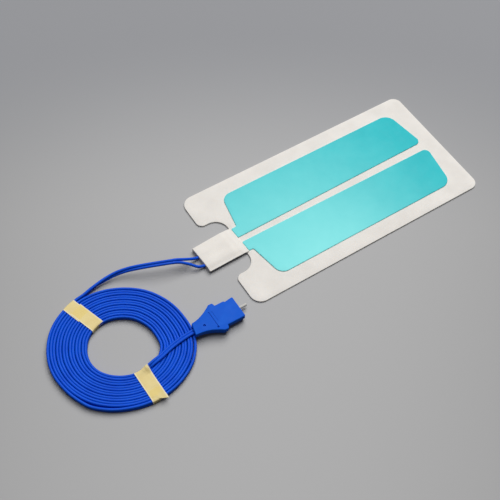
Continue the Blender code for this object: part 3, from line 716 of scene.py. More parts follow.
def turned(profile: Sequence[tuple[float, float]], place: Vector, sides: int = 40) -> Mesh:
    """Turns a profile about an axis along X.

    Args:
        profile: Places along the axis with a radius, from axis to axis.
        place: Where the axis starts.
        sides: Facets round the axis.

    Returns:
        The solid.
    """
    bm = bmesh.new()
    verts = [bm.verts.new((x, radius, 0.0)) for x, radius in profile]
    edges = [bm.edges.new(pair) for pair in zip(verts, verts[1:])]
    bmesh.ops.spin(
        bm, geom=verts + edges, cent=(0, 0, 0), axis=(1, 0, 0), angle=math.tau, steps=sides, use_merge=True
    )
    bmesh.ops.remove_doubles(bm, verts=bm.verts, dist=1e-7)
    bmesh.ops.translate(bm, vec=place, verts=bm.verts)
    face_outwards(bm)
    return bm


def round_level(bm: Mesh, height: float, width: float, segments: int) -> None:
    """Rounds the edges that lie at one height.

    Args:
        bm: The solid.
        height: The height of the rim.
        width: How far the rounding reaches.
        segments: Facets across it.
    """
    edges = [e for e in bm.edges if all(abs(v.co.z - height) < 1e-7 for v in e.verts)]
    bmesh.ops.bevel(bm, geom=edges, offset=width, segments=segments, profile=0.5, affect="EDGES")


def cut_grid(bm: Mesh, axis: int, stations: Iterable[float]) -> None:
    """Splits a mesh's faces by planes across an axis, so that it can bend and swell there.

    Args:
        bm: The mesh.
        axis: 0 for X and 1 for Y.
        stations: Where the planes stand.
    """
    normal = Vector((0.0, 0.0, 0.0))
    normal[axis] = 1.0
    for station in stations:
        parts = [*bm.verts, *bm.edges, *bm.faces]
        bmesh.ops.bisect_plane(bm, geom=parts, dist=1e-7, plane_co=normal * station, plane_no=normal)


def spaced(start: float, end: float, step: float) -> list[float]:
    """Lists even stations between two places.

    Args:
        start: The first place.
        end: The last place.
        step: About how far apart.

    Returns:
        The stations, without the two ends.
    """
    count = max(2, round((end - start) / step))
    return [start + (end - start) * i / count for i in range(1, count)]


def mesh_piece(
    name: str, bm: Mesh, material: Material, place: Matrix | None = None, angle: float = 38.0
) -> Piece:
    """Turns a bmesh into a finished piece whose place is in its mesh.

    Args:
        name: The piece's name.
        bm: The mesh, freed afterwards.
        material: Its finish.
        place: Where its own frame stands in the model's.
        angle: The least angle, in degrees, that shows as a sharp edge.

    Returns:
        The piece.
    """
    if place is not None:
        bmesh.ops.transform(bm, matrix=place, verts=bm.verts)
    mesh = bpy.data.meshes.new(name)
    bm.to_mesh(mesh)
    bm.free()
    mesh.shade_smooth()
    mesh.set_sharp_from_angle(angle=math.radians(angle))
    mesh.materials.append(material)
    return placed(name, mesh)


def carved(body: Mesh, cutters: Sequence[Mesh], soften: float = 0.0) -> Mesh:
    """Rounds a solid's sharp edges and cuts others from it.

    Args:
        body: The solid, freed afterwards.
        cutters: What is cut away, freed afterwards.
        soften: How far the rounding reaches, or 0 for none.

    Returns:
        The result, its doubled points merged and its slivers filled.
    """
    temporary: list[Piece] = []
    for index, bm in enumerate([body, *cutters]):
        mesh = bpy.data.meshes.new(f"carving_{index}")
        bm.to_mesh(mesh)
        bm.free()
        temporary.append(placed(mesh.name, mesh))
    target = temporary[0]
    if soften:
        bevel = target.modifiers.new("soften", "BEVEL")
        bevel.width = soften
        bevel.segments = 4
        bevel.limit_method = "ANGLE"
        bevel.angle_limit = math.radians(50)
    for cutter in temporary[1:]:
        modifier = target.modifiers.new(cutter.name, "BOOLEAN")
        modifier.object = cutter
        modifier.solver = "EXACT"
    evaluated = target.evaluated_get(bpy.context.evaluated_depsgraph_get())
    result = bmesh.new()
    result.from_mesh(evaluated.to_mesh())
    evaluated.to_mesh_clear()
    for item in temporary:
        bpy.data.objects.remove(item, do_unlink=True)
    bmesh.ops.remove_doubles(result, verts=result.verts, dist=1e-6)
    bmesh.ops.holes_fill(result, edges=[edge for edge in result.edges if edge.is_boundary], sides=4)
    return result


def smooth_route(points: Sequence[Sequence[float]], spacing: float) -> list[tuple[float, ...]]:
    """Samples a Catmull-Rom curve evenly.

    Args:
        points: The points that it passes through, each with any number of values after X, Y and Z.
        spacing: About how far apart the samples are.

    Returns:
        The samples, with as many values as the points.
    """
    first = [2 * a - b for a, b in zip(points[0], points[1])]
    last = [2 * a - b for a, b in zip(points[-1], points[-2])]
    knots = [first, *points, last]
    fine: list[list[float]] = []
    substeps = 12
    for p0, p1, p2, p3 in zip(knots, knots[1:], knots[2:], knots[3:]):
        for step in range(substeps):
            t = step / substeps
            place = []
            for a, b, c, d in zip(p0, p1, p2, p3):
                square, cube = 2 * a - 5 * b + 4 * c - d, 3 * b - a - 3 * c + d
                place.append(0.5 * (2 * b + (c - a) * t + square * t * t + cube * t**3))
            fine.append(place)
    fine.append(list(points[-1]))
    lengths = [0.0]
    for a, b in zip(fine, fine[1:]):
        lengths.append(lengths[-1] + math.dist(a[:3], b[:3]))
    count = max(2, round(lengths[-1] / spacing))
    samples: list[tuple[float, ...]] = []
    index = 0
    for step in range(count + 1):
        wanted = lengths[-1] * step / count
        while index < len(fine) - 2 and lengths[index + 1] < wanted:
            index += 1
        share = (wanted - lengths[index]) / (lengths[index + 1] - lengths[index])
        samples.append(tuple(a + (b - a) * share for a, b in zip(fine[index], fine[index + 1])))
    return samples


def adopt(piece: Piece, slot: str, *nodes: str) -> Piece:
    """Seats a piece on the model's one body, in place of the CAD nodes that it stands for.

    Args:
        piece: The piece.
        slot: The record's material slot of its finish; not used.
        *nodes: The CAD nodes that it replaces.

    Returns:
        The piece.
    """
    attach(piece, "root")
    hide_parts(*nodes)
    LOG.info("%s: %d faces, stands for %s", piece.name, len(piece.data.polygons), ", ".join(nodes))
    return piece


def dress_node(name: str, material: Material) -> Piece:
    """Gives a CAD node that stays its finish.

    Args:
        name: The node.
        material: The finish.

    Returns:
        The node's object.
    """
    node = bpy.data.objects[name]
    node.data.materials.clear()
    node.data.materials.append(material)
    LOG.info("%s: CAD node kept, finished in %s", name, material.name)
    return node


# The pad


@dataclass
class FoamPad:
    """The die-cut foam backing, its neck lifted on to the clamp's base."""

    length: float = 0.206
    width: float = 0.106
    thickness: float = 0.0012
    near_radius: float = 0.0085
    far_radius: float = 0.007
    notch_depth: float = 0.0182
    notch_half_span: float = 0.0247
    notch_radius: float = 0.0105
    lip_radius: float = 0.005
    neck_width: float = 0.0206
    neck_reach: float = 0.004
    neck_radius: float = 0.001
    ramp_length: float = 0.0045
    ramp_facets: int = 8
    cover_lap: float = 0.0194
    cover_length: float = 0.0338
    cover_width: float = 0.0244
    skew: float = math.radians(3.0)
    neck_lift: float = 0.00105
    unevenness: float = 0.00010
    broad_waves: float = 26
    fine_waves: float = 90
    top_edge: float = 0.0003
    foot_edge: float = 0.00015
    facet: float = 0.0045

    @property
    def near_x(self) -> float:
        """Where the near edge stands."""
        reach = self.cover_length * math.cos(self.skew) + self.cover_width / 2 * math.sin(self.skew)
        return (reach - self.cover_lap - self.length) / 2

    @property
    def far_x(self) -> float:
        """Where the far edge stands."""
        return self.near_x + self.length

    @property
    def foot_x(self) -> float:
        """Where the neck's ramp starts to rise."""
        return self.near_x + self.notch_depth

    @property
    def cover_x(self) -> float:
        """Where the cover's pad end lies."""
        return self.near_x + self.cover_lap

    def neck_share(self, x: float) -> float:
        """How far up the neck's ramp a place is, from 0 to 1."""
        return smoothstep((self.foot_x - x) / self.ramp_length)

    def settle(self, x: float, y: float) -> float:
        """How far the sheet's skin lies below its full thickness at a place.

        Args:
            x: Place along the pad.
            y: Place across it.

        Returns:
            The depth in metres, never below 0.
        """
        broad = noise.noise(Vector((x * self.broad_waves, y * self.broad_waves, 0.3)))
        fine = noise.noise(Vector((x * self.fine_waves, y * self.fine_waves, 4.1)))
        return self.unevenness * min(max(0.5 + 0.8 * broad + 0.3 * fine, 0.0), 1.2)

    def corners(self) -> list[Corner]:
        """Lists the corners of the die-cut outline.

        Returns:
            The corners, each with its radius.
        """
        half = self.width / 2
        neck = self.neck_width / 2
        end = self.near_x - self.neck_reach
        side = [
            (self.far_x, half, self.far_radius),
            (self.near_x, half, self.near_radius),
            (self.near_x, self.notch_half_span, self.lip_radius),
            (self.foot_x, self.notch_half_span, self.notch_radius),
            (self.foot_x, neck, self.neck_radius),
            (end, neck, self.neck_radius),
        ]
        return side + [(x, -y, r) for x, y, r in reversed(side)]

    def grid(self, bm: Mesh, more: Sequence[float] = ()) -> None:
        """Splits a sheet's faces so that its skin can lie unevenly, also at more stations along the pad."""
        cut_grid(bm, 0, [*spaced(self.near_x, self.far_x, self.facet), *more])
        cut_grid(bm, 1, spaced(-self.width / 2, self.width / 2, self.facet))

    def bend(self, bm: Mesh) -> None:
        """Lifts and turns the neck of the sheet.

        Args:
            bm: The sheet.
        """
        reach = self.neck_width / 2 + 2 * self.neck_radius
        for vert in bm.verts:
            past = self.foot_x - vert.co.x
            if past > 0.0 and abs(vert.co.y) < reach:
                vert.co.z += self.neck_lift * self.neck_share(vert.co.x)
                vert.co.y -= past * math.tan(self.skew)

    def build(self, finish: FoamFinish) -> None:
        """Builds the foam sheet with its softly pinched cut edges.

        Args:
            finish: The foam's finish.
        """
        bm = prism(rounded_outline(self.corners(), 14), 0.0, self.thickness)
        round_level(bm, self.thickness, self.top_edge, 3)
        round_level(bm, 0.0, self.foot_edge, 2)
        ramp = [self.foot_x - self.ramp_length * i / self.ramp_facets for i in range(self.ramp_facets + 1)]
        self.grid(bm, ramp)
        for vert in bm.verts:
            share = vert.co.z / self.thickness
            vert.co.z -= share * self.settle(vert.co.x, vert.co.y)
        self.bend(bm)
        piece = adopt(mesh_piece("pad_foam", bm, finish.material()), "foam", "foam_backing")


@dataclass
class GelPair:
    """The two conductive gel zones, cast on foils, with a strip of bare foam between them."""

    pad: FoamPad
    underside: float = 0.0011
    thickness: float = 0.0008
    side_margin: float = 0.0124
    far_margin: float = 0.0122
    tongue_half: float = 0.0116
    tongue_length: float = 0.0045
    near_gap: float = 0.0046
    far_gap: float = 0.0070
    near_slant: float = 0.0052
    far_slant: float = 0.0058
    near_radius: float = 0.008
    far_radius: float = 0.0095
    inner_radius: float = 0.0045
    tongue_radius: float = 0.0012
    cover_gap: float = 0.0003
    rim: float = 0.0006
    settling: float = 0.7
    settle_shift: float = 0.31

    def corners(self, side: Side) -> list[Corner]:
        """Lists the corners of one zone, as on the left side.

        Args:
            side: The zone's side, because the start edge follows the skewed cover.

        Returns:
            The corners, each with its radius.
        """
        pad = self.pad
        start = pad.cover_x + self.cover_gap
        lean = side.value * math.tan(pad.skew)
        far = pad.far_x - self.far_margin
        outer = pad.width / 2 - self.side_margin
        shoulder = pad.cover_x + self.tongue_length
        inner = self.near_gap / 2
        return [
            (start - lean * inner, inner, self.tongue_radius),
            (far, self.far_gap / 2, self.inner_radius),
            (far - self.far_slant, outer, self.far_radius),
            (shoulder + self.near_slant, outer, self.near_radius),
            (shoulder, self.tongue_half, self.tongue_radius),
            (start - lean * self.tongue_half, self.tongue_half, self.tongue_radius),
        ]

    def build(self, finish: GelFinish) -> None:
        """Builds both zones, with the rounded rim that a cast gel has.

        Args:
            finish: The gel's finish.
        """
        material = finish.material()
        top = self.underside + self.thickness
        for side in Side:
            outline = [(p.x, side.value * p.y) for p in rounded_outline(self.corners(side), 12)]
            bm = prism(outline, self.underside, top)
            round_level(bm, top, self.rim, 4)
            self.pad.grid(bm)
            for vert in bm.verts:
                share = (vert.co.z - self.underside) / self.thickness
                vert.co.z -= self.settling * share * self.pad.settle(vert.co.x + self.settle_shift, vert.co.y)
            adopt(mesh_piece(f"gel_sheet_{side.label}", bm, material), "gel", f"gel_{side.label}")


@dataclass
class CrimpCover:
    """The foam patch laminated over the crimped joint, skewed as on a hand-laid patch."""

    pad: FoamPad
    skin: float = 0.001
    wall: float = 0.0014
    soften: float = 0.00045
    strand_diameter: float = 0.00194
    strand_room: float = 0.0001
    spacing: float = 0.0084
    snug: float = 0.00015
    foil_top: float = 0.00135
    gap: float = 0.0003
    seam: float = 0.00002
    ridge: float = 0.00016
    ridge_width: float = 0.0021
    ridge_start: float = 0.004
    ridge_ramp: float = 0.010
    edge_fall: float = 0.004
    wrinkles: float = 160
    near_drape: float = 0.33
    far_drape: float = 0.12
    drape_reach: float = 0.0065
    drape_start: float = 0.0020
    drape_ramp: float = 0.0050
    near_trim: float = 0.0011
    trim_from: float = 0.0060
    recess: float = 0.0012
    recess_share: float = 0.62
    facet: float = 0.0006
    base_radius: float = 0.0004
    base_top_edge: float = 0.0001
    base_foot_edge: float = 0.0002
    base_facets: tuple[float, float] = (0.003, 0.0020)

    @property
    def frame(self) -> Matrix:
        """The cover's own frame: its origin under the middle of its pad end."""
        return Matrix.Translation((self.pad.cover_x, 0.0, 0.0)) @ Matrix.Rotation(self.pad.skew, 4, "Z")

    @property
    def lead_origin(self) -> Vector:
        """The point on the floor under the middle of the cover's lead end."""
        return self.frame @ Vector((-self.pad.cover_length, 0.0, 0.0))

    @property
    def strand_z(self) -> float:
        """The height of the strands where they enter."""
        return self.skin + self.strand_diameter / 2 + self.snug

    @property
    def base_end(self) -> float:
        """Where the lower layer ends, short of the neck's ramp."""
        return self.pad.notch_depth - self.pad.ramp_length - self.gap - self.pad.cover_lap

    def underside(self, x: float) -> float:
        """The height of the upper layer's inner face.

        Args:
            x: Place along the cover, measured from its pad end.

        Returns:
            The height.
        """
        pad = self.pad
        world = pad.cover_x + x
        over_foil = self.foil_top + self.snug + pad.neck_lift * pad.neck_share(world)
        rise = smoothstep((pad.foot_x - pad.ramp_length - world) / pad.ramp_length)
        pocket_top = self.skin + self.strand_diameter + 2 * self.snug
        return over_foil + (pocket_top - self.foil_top - self.snug - pad.neck_lift) * rise

    def profile(self, rise: float, low: float, start: float, end: float) -> list[tuple[float, float]]:
        """Draws the upper layer's side view.

        Args:
            rise: How far its upper line lies above the underside.
            low: Its lower line, behind the base's end.
            start: Where it starts along the cover.
            end: Where it ends.

        Returns:
            The outline in X and Z, open between the base's end and the pad end.
        """
        steps = 28
        upper = [end + (start - end) * i / steps for i in range(steps + 1)]
        points = [(x, self.underside(x) + rise) for x in upper]
        return points + [(start, low), (self.base_end, low)]

    def swell(self, bm: Mesh) -> None:
        """Raises the upper face over the two crimps and lets it sag towards its edges.

        Args:
            bm: The upper layer, in the cover's own frame.
        """
        half = self.pad.cover_width / 2
        length = self.pad.cover_length
        for vert in bm.verts:
            x, y, z = vert.co
            if z < self.underside(x) + self.skin - 0.6 * self.skin:
                continue
            crimp = math.exp(-(((abs(y) - self.spacing / 2) / self.ridge_width) ** 2))
            along = smoothstep((-x - self.ridge_start) / self.ridge_ramp)
            edge = smoothstep((half - abs(y)) / self.edge_fall) * smoothstep((x + length) / self.edge_fall)
            texture = 0.25 * noise.noise(Vector((x * self.wrinkles, y * self.wrinkles, 2.0)))
            vert.co.z += self.ridge * (crimp * along * edge + texture - 0.7 * (1 - edge))

    def hollow(self, x: float) -> float:
        """How high above the lower layer the near edge of the upper one overhangs."""
        return self.recess_share * (self.underside(x) - self.skin) * (1.0 - self.near_drape)

    def drape(self, bm: Mesh) -> None:
        """Presses the free long edges down on to the lower layer, and trims the near one at the lead end.

        Args:
            bm: Either layer, in the cover's own frame.
        """
        half = self.pad.cover_width / 2
        floor = self.skin + self.seam
        for vert in bm.verts:
            along = -vert.co.x / self.pad.cover_length
            if vert.co.z > floor:
                edge = smoothstep((abs(vert.co.y) - half + self.drape_reach) / self.drape_reach)
                depth = self.near_drape if vert.co.y < 0.0 else self.far_drape
                held = smoothstep((-vert.co.x - self.drape_start) / self.drape_ramp)
                vert.co.z = floor + (vert.co.z - floor) * (1.0 - depth * edge * held)
            if vert.co.y < 0.0:
                if vert.co.y < -half + self.wall / 2 and vert.co.z < self.skin + self.hollow(vert.co.x):
                    vert.co.y += self.recess
                across = smoothstep((-vert.co.y - self.trim_from) / (half - self.trim_from))
                vert.co.y += self.near_trim * along * across

    def pocket(self) -> list[Mesh]:
        """Makes what is cut from the upper layer: the pocket over the crimps and an arch for each strand.

        Returns:
            The cutters.
        """
        length = self.pad.cover_length
        half = self.pad.cover_width / 2 - self.wall
        start = -length + self.wall
        outline = self.profile(0.0, 0.0, start, self.gap)[:-1] + [(self.gap, 0.0)]
        made = [relaid(prism(outline, -half, half), (0, 2, 1))]
        radius = self.strand_diameter / 2 + self.strand_room
        turn = [a * math.pi / 12 for a in range(13)]
        for side in Side:
            y = side.value * self.spacing / 2
            arch = [(y + radius * math.cos(a), self.strand_z + radius * math.sin(a)) for a in turn]
            feet = [(y - radius, 0.0), (y + radius, 0.0)]
            made.append(relaid(prism(arch + feet, -length - self.wall, start + self.wall), (2, 0, 1)))
        return made

    def build(self, finish: FoamFinish) -> None:
        """Builds the formed upper layer and the flat lower one.

        Args:
            finish: The patch's foam finish.
        """
        material = finish.material()
        length = self.pad.cover_length
        half = self.pad.cover_width / 2
        end = self.base_end
        back = [end * (1 - i / 10) for i in range(11)]
        outline = self.profile(self.skin, self.skin + self.seam, -length, 0.0)
        outer = relaid(prism(outline + [(x, self.underside(x)) for x in back], -half, half), (0, 2, 1))
        cut_grid(outer, 1, spaced(-half, half, self.facet))
        upper = carved(outer, self.pocket(), self.soften)
        self.swell(upper)
        plan = [(-length, half), (-length, -half), (end, -half), (end, half)]
        lower = prism(rounded_outline([(x, y, self.base_radius) for x, y in plan], 4), 0.0, self.skin)
        round_level(lower, self.skin, self.base_top_edge, 2)
        round_level(lower, 0.0, self.base_foot_edge, 2)
        cut_grid(lower, 0, spaced(-length, end, self.base_facets[0]))
        cut_grid(lower, 1, spaced(-half, half, self.base_facets[1]))
        layers = (("cover_patch", upper, "clamp_cover_top"), ("cover_underlay", lower, "clamp_cover_base"))
        for name, bm, node in layers:
            self.drape(bm)
            piece = adopt(mesh_piece(name, bm, material, self.frame), "cover_foam", node)


# The lead


@dataclass(frozen=True)
class LeadSection:
    """The section of a twin or single insulated strand, for the sweep's named inputs."""

    diameter: float
    spacing: float
    web_share: float
    points: int


class SweptLead:
    """A Geometry Nodes tree that sweeps a twin or single insulated strand along a curve."""

    @cached_property
    def tree(self) -> Tree:
        """The tree: an eight-shaped section, drawn by angle, swept with filled ends.

        Returns:
            The tree.
        """
        wire, given = new_group(
            "swept_lead",
            "GeometryNodeTree",
            [
                ("Geometry", "Geometry", None),
                ("Strand Diameter", "Float", 0.002),
                ("Strand Spacing", "Float", 0.002),
                ("Web Share", "Float", 0.3),
                ("Section Points", "Int", 24),
                ("Finish", "Material", None),
            ],
            [("Geometry", "Geometry")],
        )
        circle = wire.add("GeometryNodeCurvePrimitiveCircle", Resolution=given["Section Points"], Radius=1.0)
        place = wire.add("GeometryNodeInputPosition").outputs[0]
        across = wire.add("ShaderNodeSeparateXYZ", Vector=place).outputs[0]
        lobe = wire.math("MULTIPLY", across, given["Strand Spacing"])
        radius = wire.math("MULTIPLY", given["Strand Diameter"], 0.5)
        waist = wire.math("MULTIPLY", radius, given["Web Share"])
        squares = wire.math("ADD", wire.math("POWER", lobe, 2.0), wire.math("POWER", waist, 2.0))
        reach = wire.math("SQRT", squares)
        scaled = wire.add("ShaderNodeVectorMath", {"operation": "SCALE"}, Vector=place, Scale=reach)
        section = wire.add("GeometryNodeSetPosition", Geometry=circle.outputs[0], Position=scaled.outputs[0])
        swept = wire.add("GeometryNodeCurveToMesh", Curve=given["Geometry"], Profile_Curve=section.outputs[0])
        wire.feed(swept, "Fill Caps", True)
        smooth = wire.add("GeometryNodeSetShadeSmooth", Geometry=swept.outputs[0])
        real = wire.add("GeometryNodeRealizeInstances", Geometry=smooth.outputs[0])
        painted = wire.add("GeometryNodeSetMaterial", Geometry=real.outputs[0], Material=given["Finish"])
        wire.add("NodeGroupOutput", Geometry=painted.outputs[0])
        return wire.tree

    def sweep(self, name: str, samples: Sequence[Sample], material: Material, section: LeadSection) -> Piece:
        """Sweeps the section along samples and turns the result into a plain mesh.

        Args:
            name: The piece's name.
            samples: X, Y, Z and the degrees turned from on edge.
            material: The finish.
            section: The section's sizes.

        Returns:
            The piece.
        """
        curve = bpy.data.curves.new(name, "CURVE")
        curve.dimensions = "3D"
        curve.twist_mode = "Z_UP"
        spline = curve.splines.new("POLY")
        spline.points.add(len(samples) - 1)
        for point, sample in zip(spline.points, samples):
            point.co = (*sample[:3], 1.0)
            point.tilt = math.radians(90.0 - sample[3])
        guide = placed(f"{name}_guide", curve)
        modifier = guide.modifiers.new("sweep", "NODES")
        modifier.node_group = self.tree
        sockets = self.tree.interface.items_tree
        inputs = {socket.name: socket.identifier for socket in sockets if socket.in_out == "INPUT"}
        for key, value in (
            ("Strand Diameter", section.diameter),
            ("Strand Spacing", section.spacing),
            ("Web Share", section.web_share),
            ("Section Points", section.points),
            ("Finish", material),
        ):
            modifier[inputs[key]] = value
        mesh = bpy.data.meshes.new_from_object(guide.evaluated_get(bpy.context.evaluated_depsgraph_get()))
        mesh.name = name
        bpy.data.objects.remove(guide, do_unlink=True)
        return placed(name, mesh)


@dataclass
class TwinLead:
    """The fixed lead: two strands parting at the clamp, a free arch, the flat coil and the crossing."""

    origin: Vector
    cover: CrimpCover
    strand_diameter: float = 0.00194
    spacing: float = 0.00194
    web_share: float = 0.42
    parted_swell: float = 1.1
    pitch: float = 0.00202
    turns: float = 12.43
    start_radius: float = 0.0484
    start_angle: float = math.radians(106.0)
    oval: float = 0.0014
    oval_angle: float = math.radians(147.0)
    lift: float = 0.0003
    centre_offset: Vector = field(default_factory=lambda: Vector((-0.08235, -0.03008, 0.0)))
    spacing_along: float = 0.0021
    eased_angle: float = 1.5
    pair_out: float = 0.00005
    pair_up: float = 0.00004
    pair_lean: float = 4.0
    sway_out: float = 0.00001
    sway_up: float = 0.00005
    tie_lean: float = 12.0
    tie_lean_at: float = 262.0
    tie_lean_width: float = 22.0

    # Where hand winding left the coil off an even spiral: the angle in degrees, then how many millimetres
    # further out the outermost turn, the next and the innermost lie
    wander: tuple[Sample, ...] = (
        (0, -0.60, -0.60, -1.00), (20, -0.45, -0.50, -1.00), (40, -0.10, -0.20, -0.45),
        (60, -0.30, -0.30, -0.42), (80, -0.10, -0.15, -0.40), (106, 0.00, -0.10, -0.90),
        (130, 0.05, 0.00, -1.20), (150, -0.15, -0.10, -1.40), (170, 0.00, 0.00, -0.60),
        (190, -0.15, 0.00, 0.60), (205, 0.65, 0.15, 1.15), (217, 1.45, 0.20, 1.35),
        (230, 1.00, 0.15, 1.45), (245, 0.25, 0.00, 1.55), (262, 0.05, -0.10, 1.60),
        (275, 0.05, -0.05, 1.60), (290, 0.25, 0.15, 1.30), (305, 0.95, 0.60, 1.00),
        (320, 1.65, 1.30, 1.15), (332, 1.55, 1.35, 0.90), (345, 0.40, 0.20, -0.60),
        (352, -0.20, -0.30, -0.90),
    )
    # From the parting point to the coil, measured from the cover's end: X, Y, Z and the degrees that the
    # pair has turned from on edge
    arch: tuple[Sample, ...] = (
        (-0.01720, 0.00612, 0.0087, -60), (-0.02075, 0.00725, 0.0091, -61), (-0.02855, 0.01007, 0.0094, -62),
        (-0.03735, 0.01375, 0.0088, -60), (-0.04585, 0.01757, 0.0074, -52), (-0.05265, 0.02022, 0.0059, -38),
        (-0.05975, 0.02185, 0.0045, -24), (-0.06700, 0.02205, 0.0036, -10), (-0.07325, 0.02165, 0.0031, 10),
        (-0.08005, 0.02035, 0.0028, 10), (-0.08605, 0.01885, 0.0025, 5), (-0.09115, 0.01815, 0.0023, 0),
    )
    # Under the lower tie and over the coil to the plug, measured from the coil's centre
    crossing: tuple[Sample, ...] = (
        (0.0002, -0.0240, 0.0025, 5), (0.0042, -0.0239, 0.0030, 15), (0.0083, -0.0240, 0.0047, 42),
        (0.0128, -0.0233, 0.0055, 72), (0.0184, -0.0222, 0.0055, 90), (0.0254, -0.0201, 0.0054, 90),
        (0.0324, -0.0187, 0.0054, 90), (0.0394, -0.0178, 0.0054, 90), (0.0442, -0.0175, 0.0053, 90),
        (0.0475, -0.01745, 0.0051, 90), (0.0502, -0.01745, 0.00484, 90),
    )
    # The parted strands, from inside the twin lead to the cover, and where each goes on inside it
    left_fork: tuple[Corner, ...] = (
        (-0.02040, 0.00800, 0.0096), (-0.01690, 0.00700, 0.0090), (-0.01300, 0.00595, 0.0075),
        (-0.00850, 0.00500, 0.0055), (-0.00420, 0.00440, 0.0034),
    )
    right_fork: tuple[Corner, ...] = (
        (-0.02100, 0.00650, 0.0086), (-0.01750, 0.00525, 0.0081), (-0.01400, 0.00370, 0.0070),
        (-0.00960, 0.00085, 0.0052), (-0.00480, -0.00310, 0.0032),
    )
    crimp_stations: Corner = (0.0, 0.0014, 0.0047)

    @property
    def coil_centre(self) -> Vector:
        """The coil's centre on the floor."""
        return self.origin + self.centre_offset

    @property
    def coil_top(self) -> float:
        """The height of the coil's upper side."""
        return self.lift + 2 * self.strand_diameter

    def drift(self, wound: float) -> float:
        """How far the coil lies off an even spiral.

        Args:
            wound: The angle wound so far, in radians.

        Returns:
            The distance outwards.
        """
        angle = math.degrees(self.start_angle + wound) % 360
        rows = [(self.wander[-1][0] - 360, *self.wander[-1][1:]), *self.wander, (360, *self.wander[0][1:])]
        index = max(i for i, row in enumerate(rows[:-1]) if row[0] <= angle)
        share = smoothstep((angle - rows[index][0]) / (rows[index + 1][0] - rows[index][0]))
        pairs = zip(rows[index][1:], rows[index + 1][1:])
        outermost, following, innermost = (a + (b - a) * share for a, b in pairs)
        turn = wound / math.tau
        inward = min(max((turn - 1.0) / (self.turns - 1.5), 0.0), 1.0)
        body = following + (innermost - following) * inward
        return 0.001 * (outermost + (body - outermost) * smoothstep((turn - 0.75) / 0.8))

    def coil_point(self, wound: float) -> Sample:
        """Places the lead in the coil, with the small leans and lifts of hand-wound turns.

        Args:
            wound: The angle wound so far, in radians.

        Returns:
            X, Y, Z and the degrees turned from on edge.
        """
        angle = self.start_angle + wound
        left = math.tau * self.turns - wound
        ease = smoothstep(wound / self.eased_angle) * smoothstep(left / self.eased_angle)
        paired = math.tanh(3 * math.sin(wound / 2 - 0.21))
        radius = self.start_radius - self.pitch * wound / math.tau
        radius += self.oval * math.cos(2 * (angle - self.oval_angle)) + self.drift(wound)
        radius += ease * (self.pair_out * paired + self.sway_out * math.sin(3.3 * wound))
        height = self.lift + self.strand_diameter
        height += ease * (self.pair_up * paired + self.sway_up * math.sin(1.17 * wound + 0.7))
        lean = ease * (-self.pair_lean * paired + math.sin(0.83 * wound + 1.1 * math.sin(0.31 * wound)))
        away = (math.degrees(angle) - self.tie_lean_at) / self.tie_lean_width
        lean += self.tie_lean * math.exp(-(away**2))
        centre = self.coil_centre
        return (centre.x + radius * math.cos(angle), centre.y + radius * math.sin(angle), height, lean)

    def route(self) -> list[Sample]:
        """Draws the whole twin lead, from where its strands part to the plug.

        Returns:
            Its samples.
        """
        origin = self.origin
        centre = self.coil_centre
        knots: list[Sample] = [(origin.x + x, origin.y + y, z, turn) for x, y, z, turn in self.arch]
        total = math.tau * self.turns
        steps = round(math.degrees(total) / 10)
        knots += [self.coil_point(total * i / steps) for i in range(steps + 1)]
        knots += [(centre.x + x, centre.y + y, z, turn) for x, y, z, turn in self.crossing]
        return smooth_route(knots, self.spacing_along)

    def fork(self, side: Side) -> list[Sample]:
        """Draws one strand from inside the twin lead to its crimp.

        Args:
            side: The strand's side.

        Returns:
            Its samples.
        """
        turn = Matrix.Rotation(self.cover.pad.skew, 3, "Z")
        points = self.left_fork if side is Side.LEFT else self.right_fork
        y = side.value * self.cover.spacing / 2
        inner = [Vector((x, y, self.cover.strand_z)) for x in self.crimp_stations]
        places = [self.origin + Vector(p) for p in points] + [self.origin + turn @ p for p in inner]
        return smooth_route([(*p, 0.0) for p in places], self.spacing_along / 3)

    def build(self, finish: InsulationFinish) -> tuple[Piece, list[Piece], list[Sample]]:
        """Builds the twin lead and its two parted strands, and finishes the strand ends in the plug.

        Args:
            finish: The insulation's finish.

        Returns:
            The twin lead, the parted strands and the twin lead's samples.
        """
        material = finish.material()
        samples = self.route()
        sweeper = SweptLead()
        twin = LeadSection(self.strand_diameter, self.spacing, self.web_share, 26)
        lead = sweeper.sweep("twin_lead", samples, material, twin)
        adopt(lead, "insulation", "lead_coil", "lead_tail", "lead_crossing")
        single = LeadSection(self.strand_diameter * self.parted_swell, 0.0, 1.0, 20)
        strands = []
        for side in Side:
            piece = sweeper.sweep(f"parted_strand_{side.label}", self.fork(side), material, single)
            strands.append(adopt(piece, "insulation", f"lead_strand_{side.label}"))
            dress_node(f"plug_strand_{side.label}", material)
        return lead, strands, samples


@dataclass(frozen=True)
class TapeStation:
    """One station along a tie: its reach, its height unless the coil gives it, its rise and its offset."""

    x: float
    height: float | None = None
    layer: float = 0.0
    offset: float = 0.0


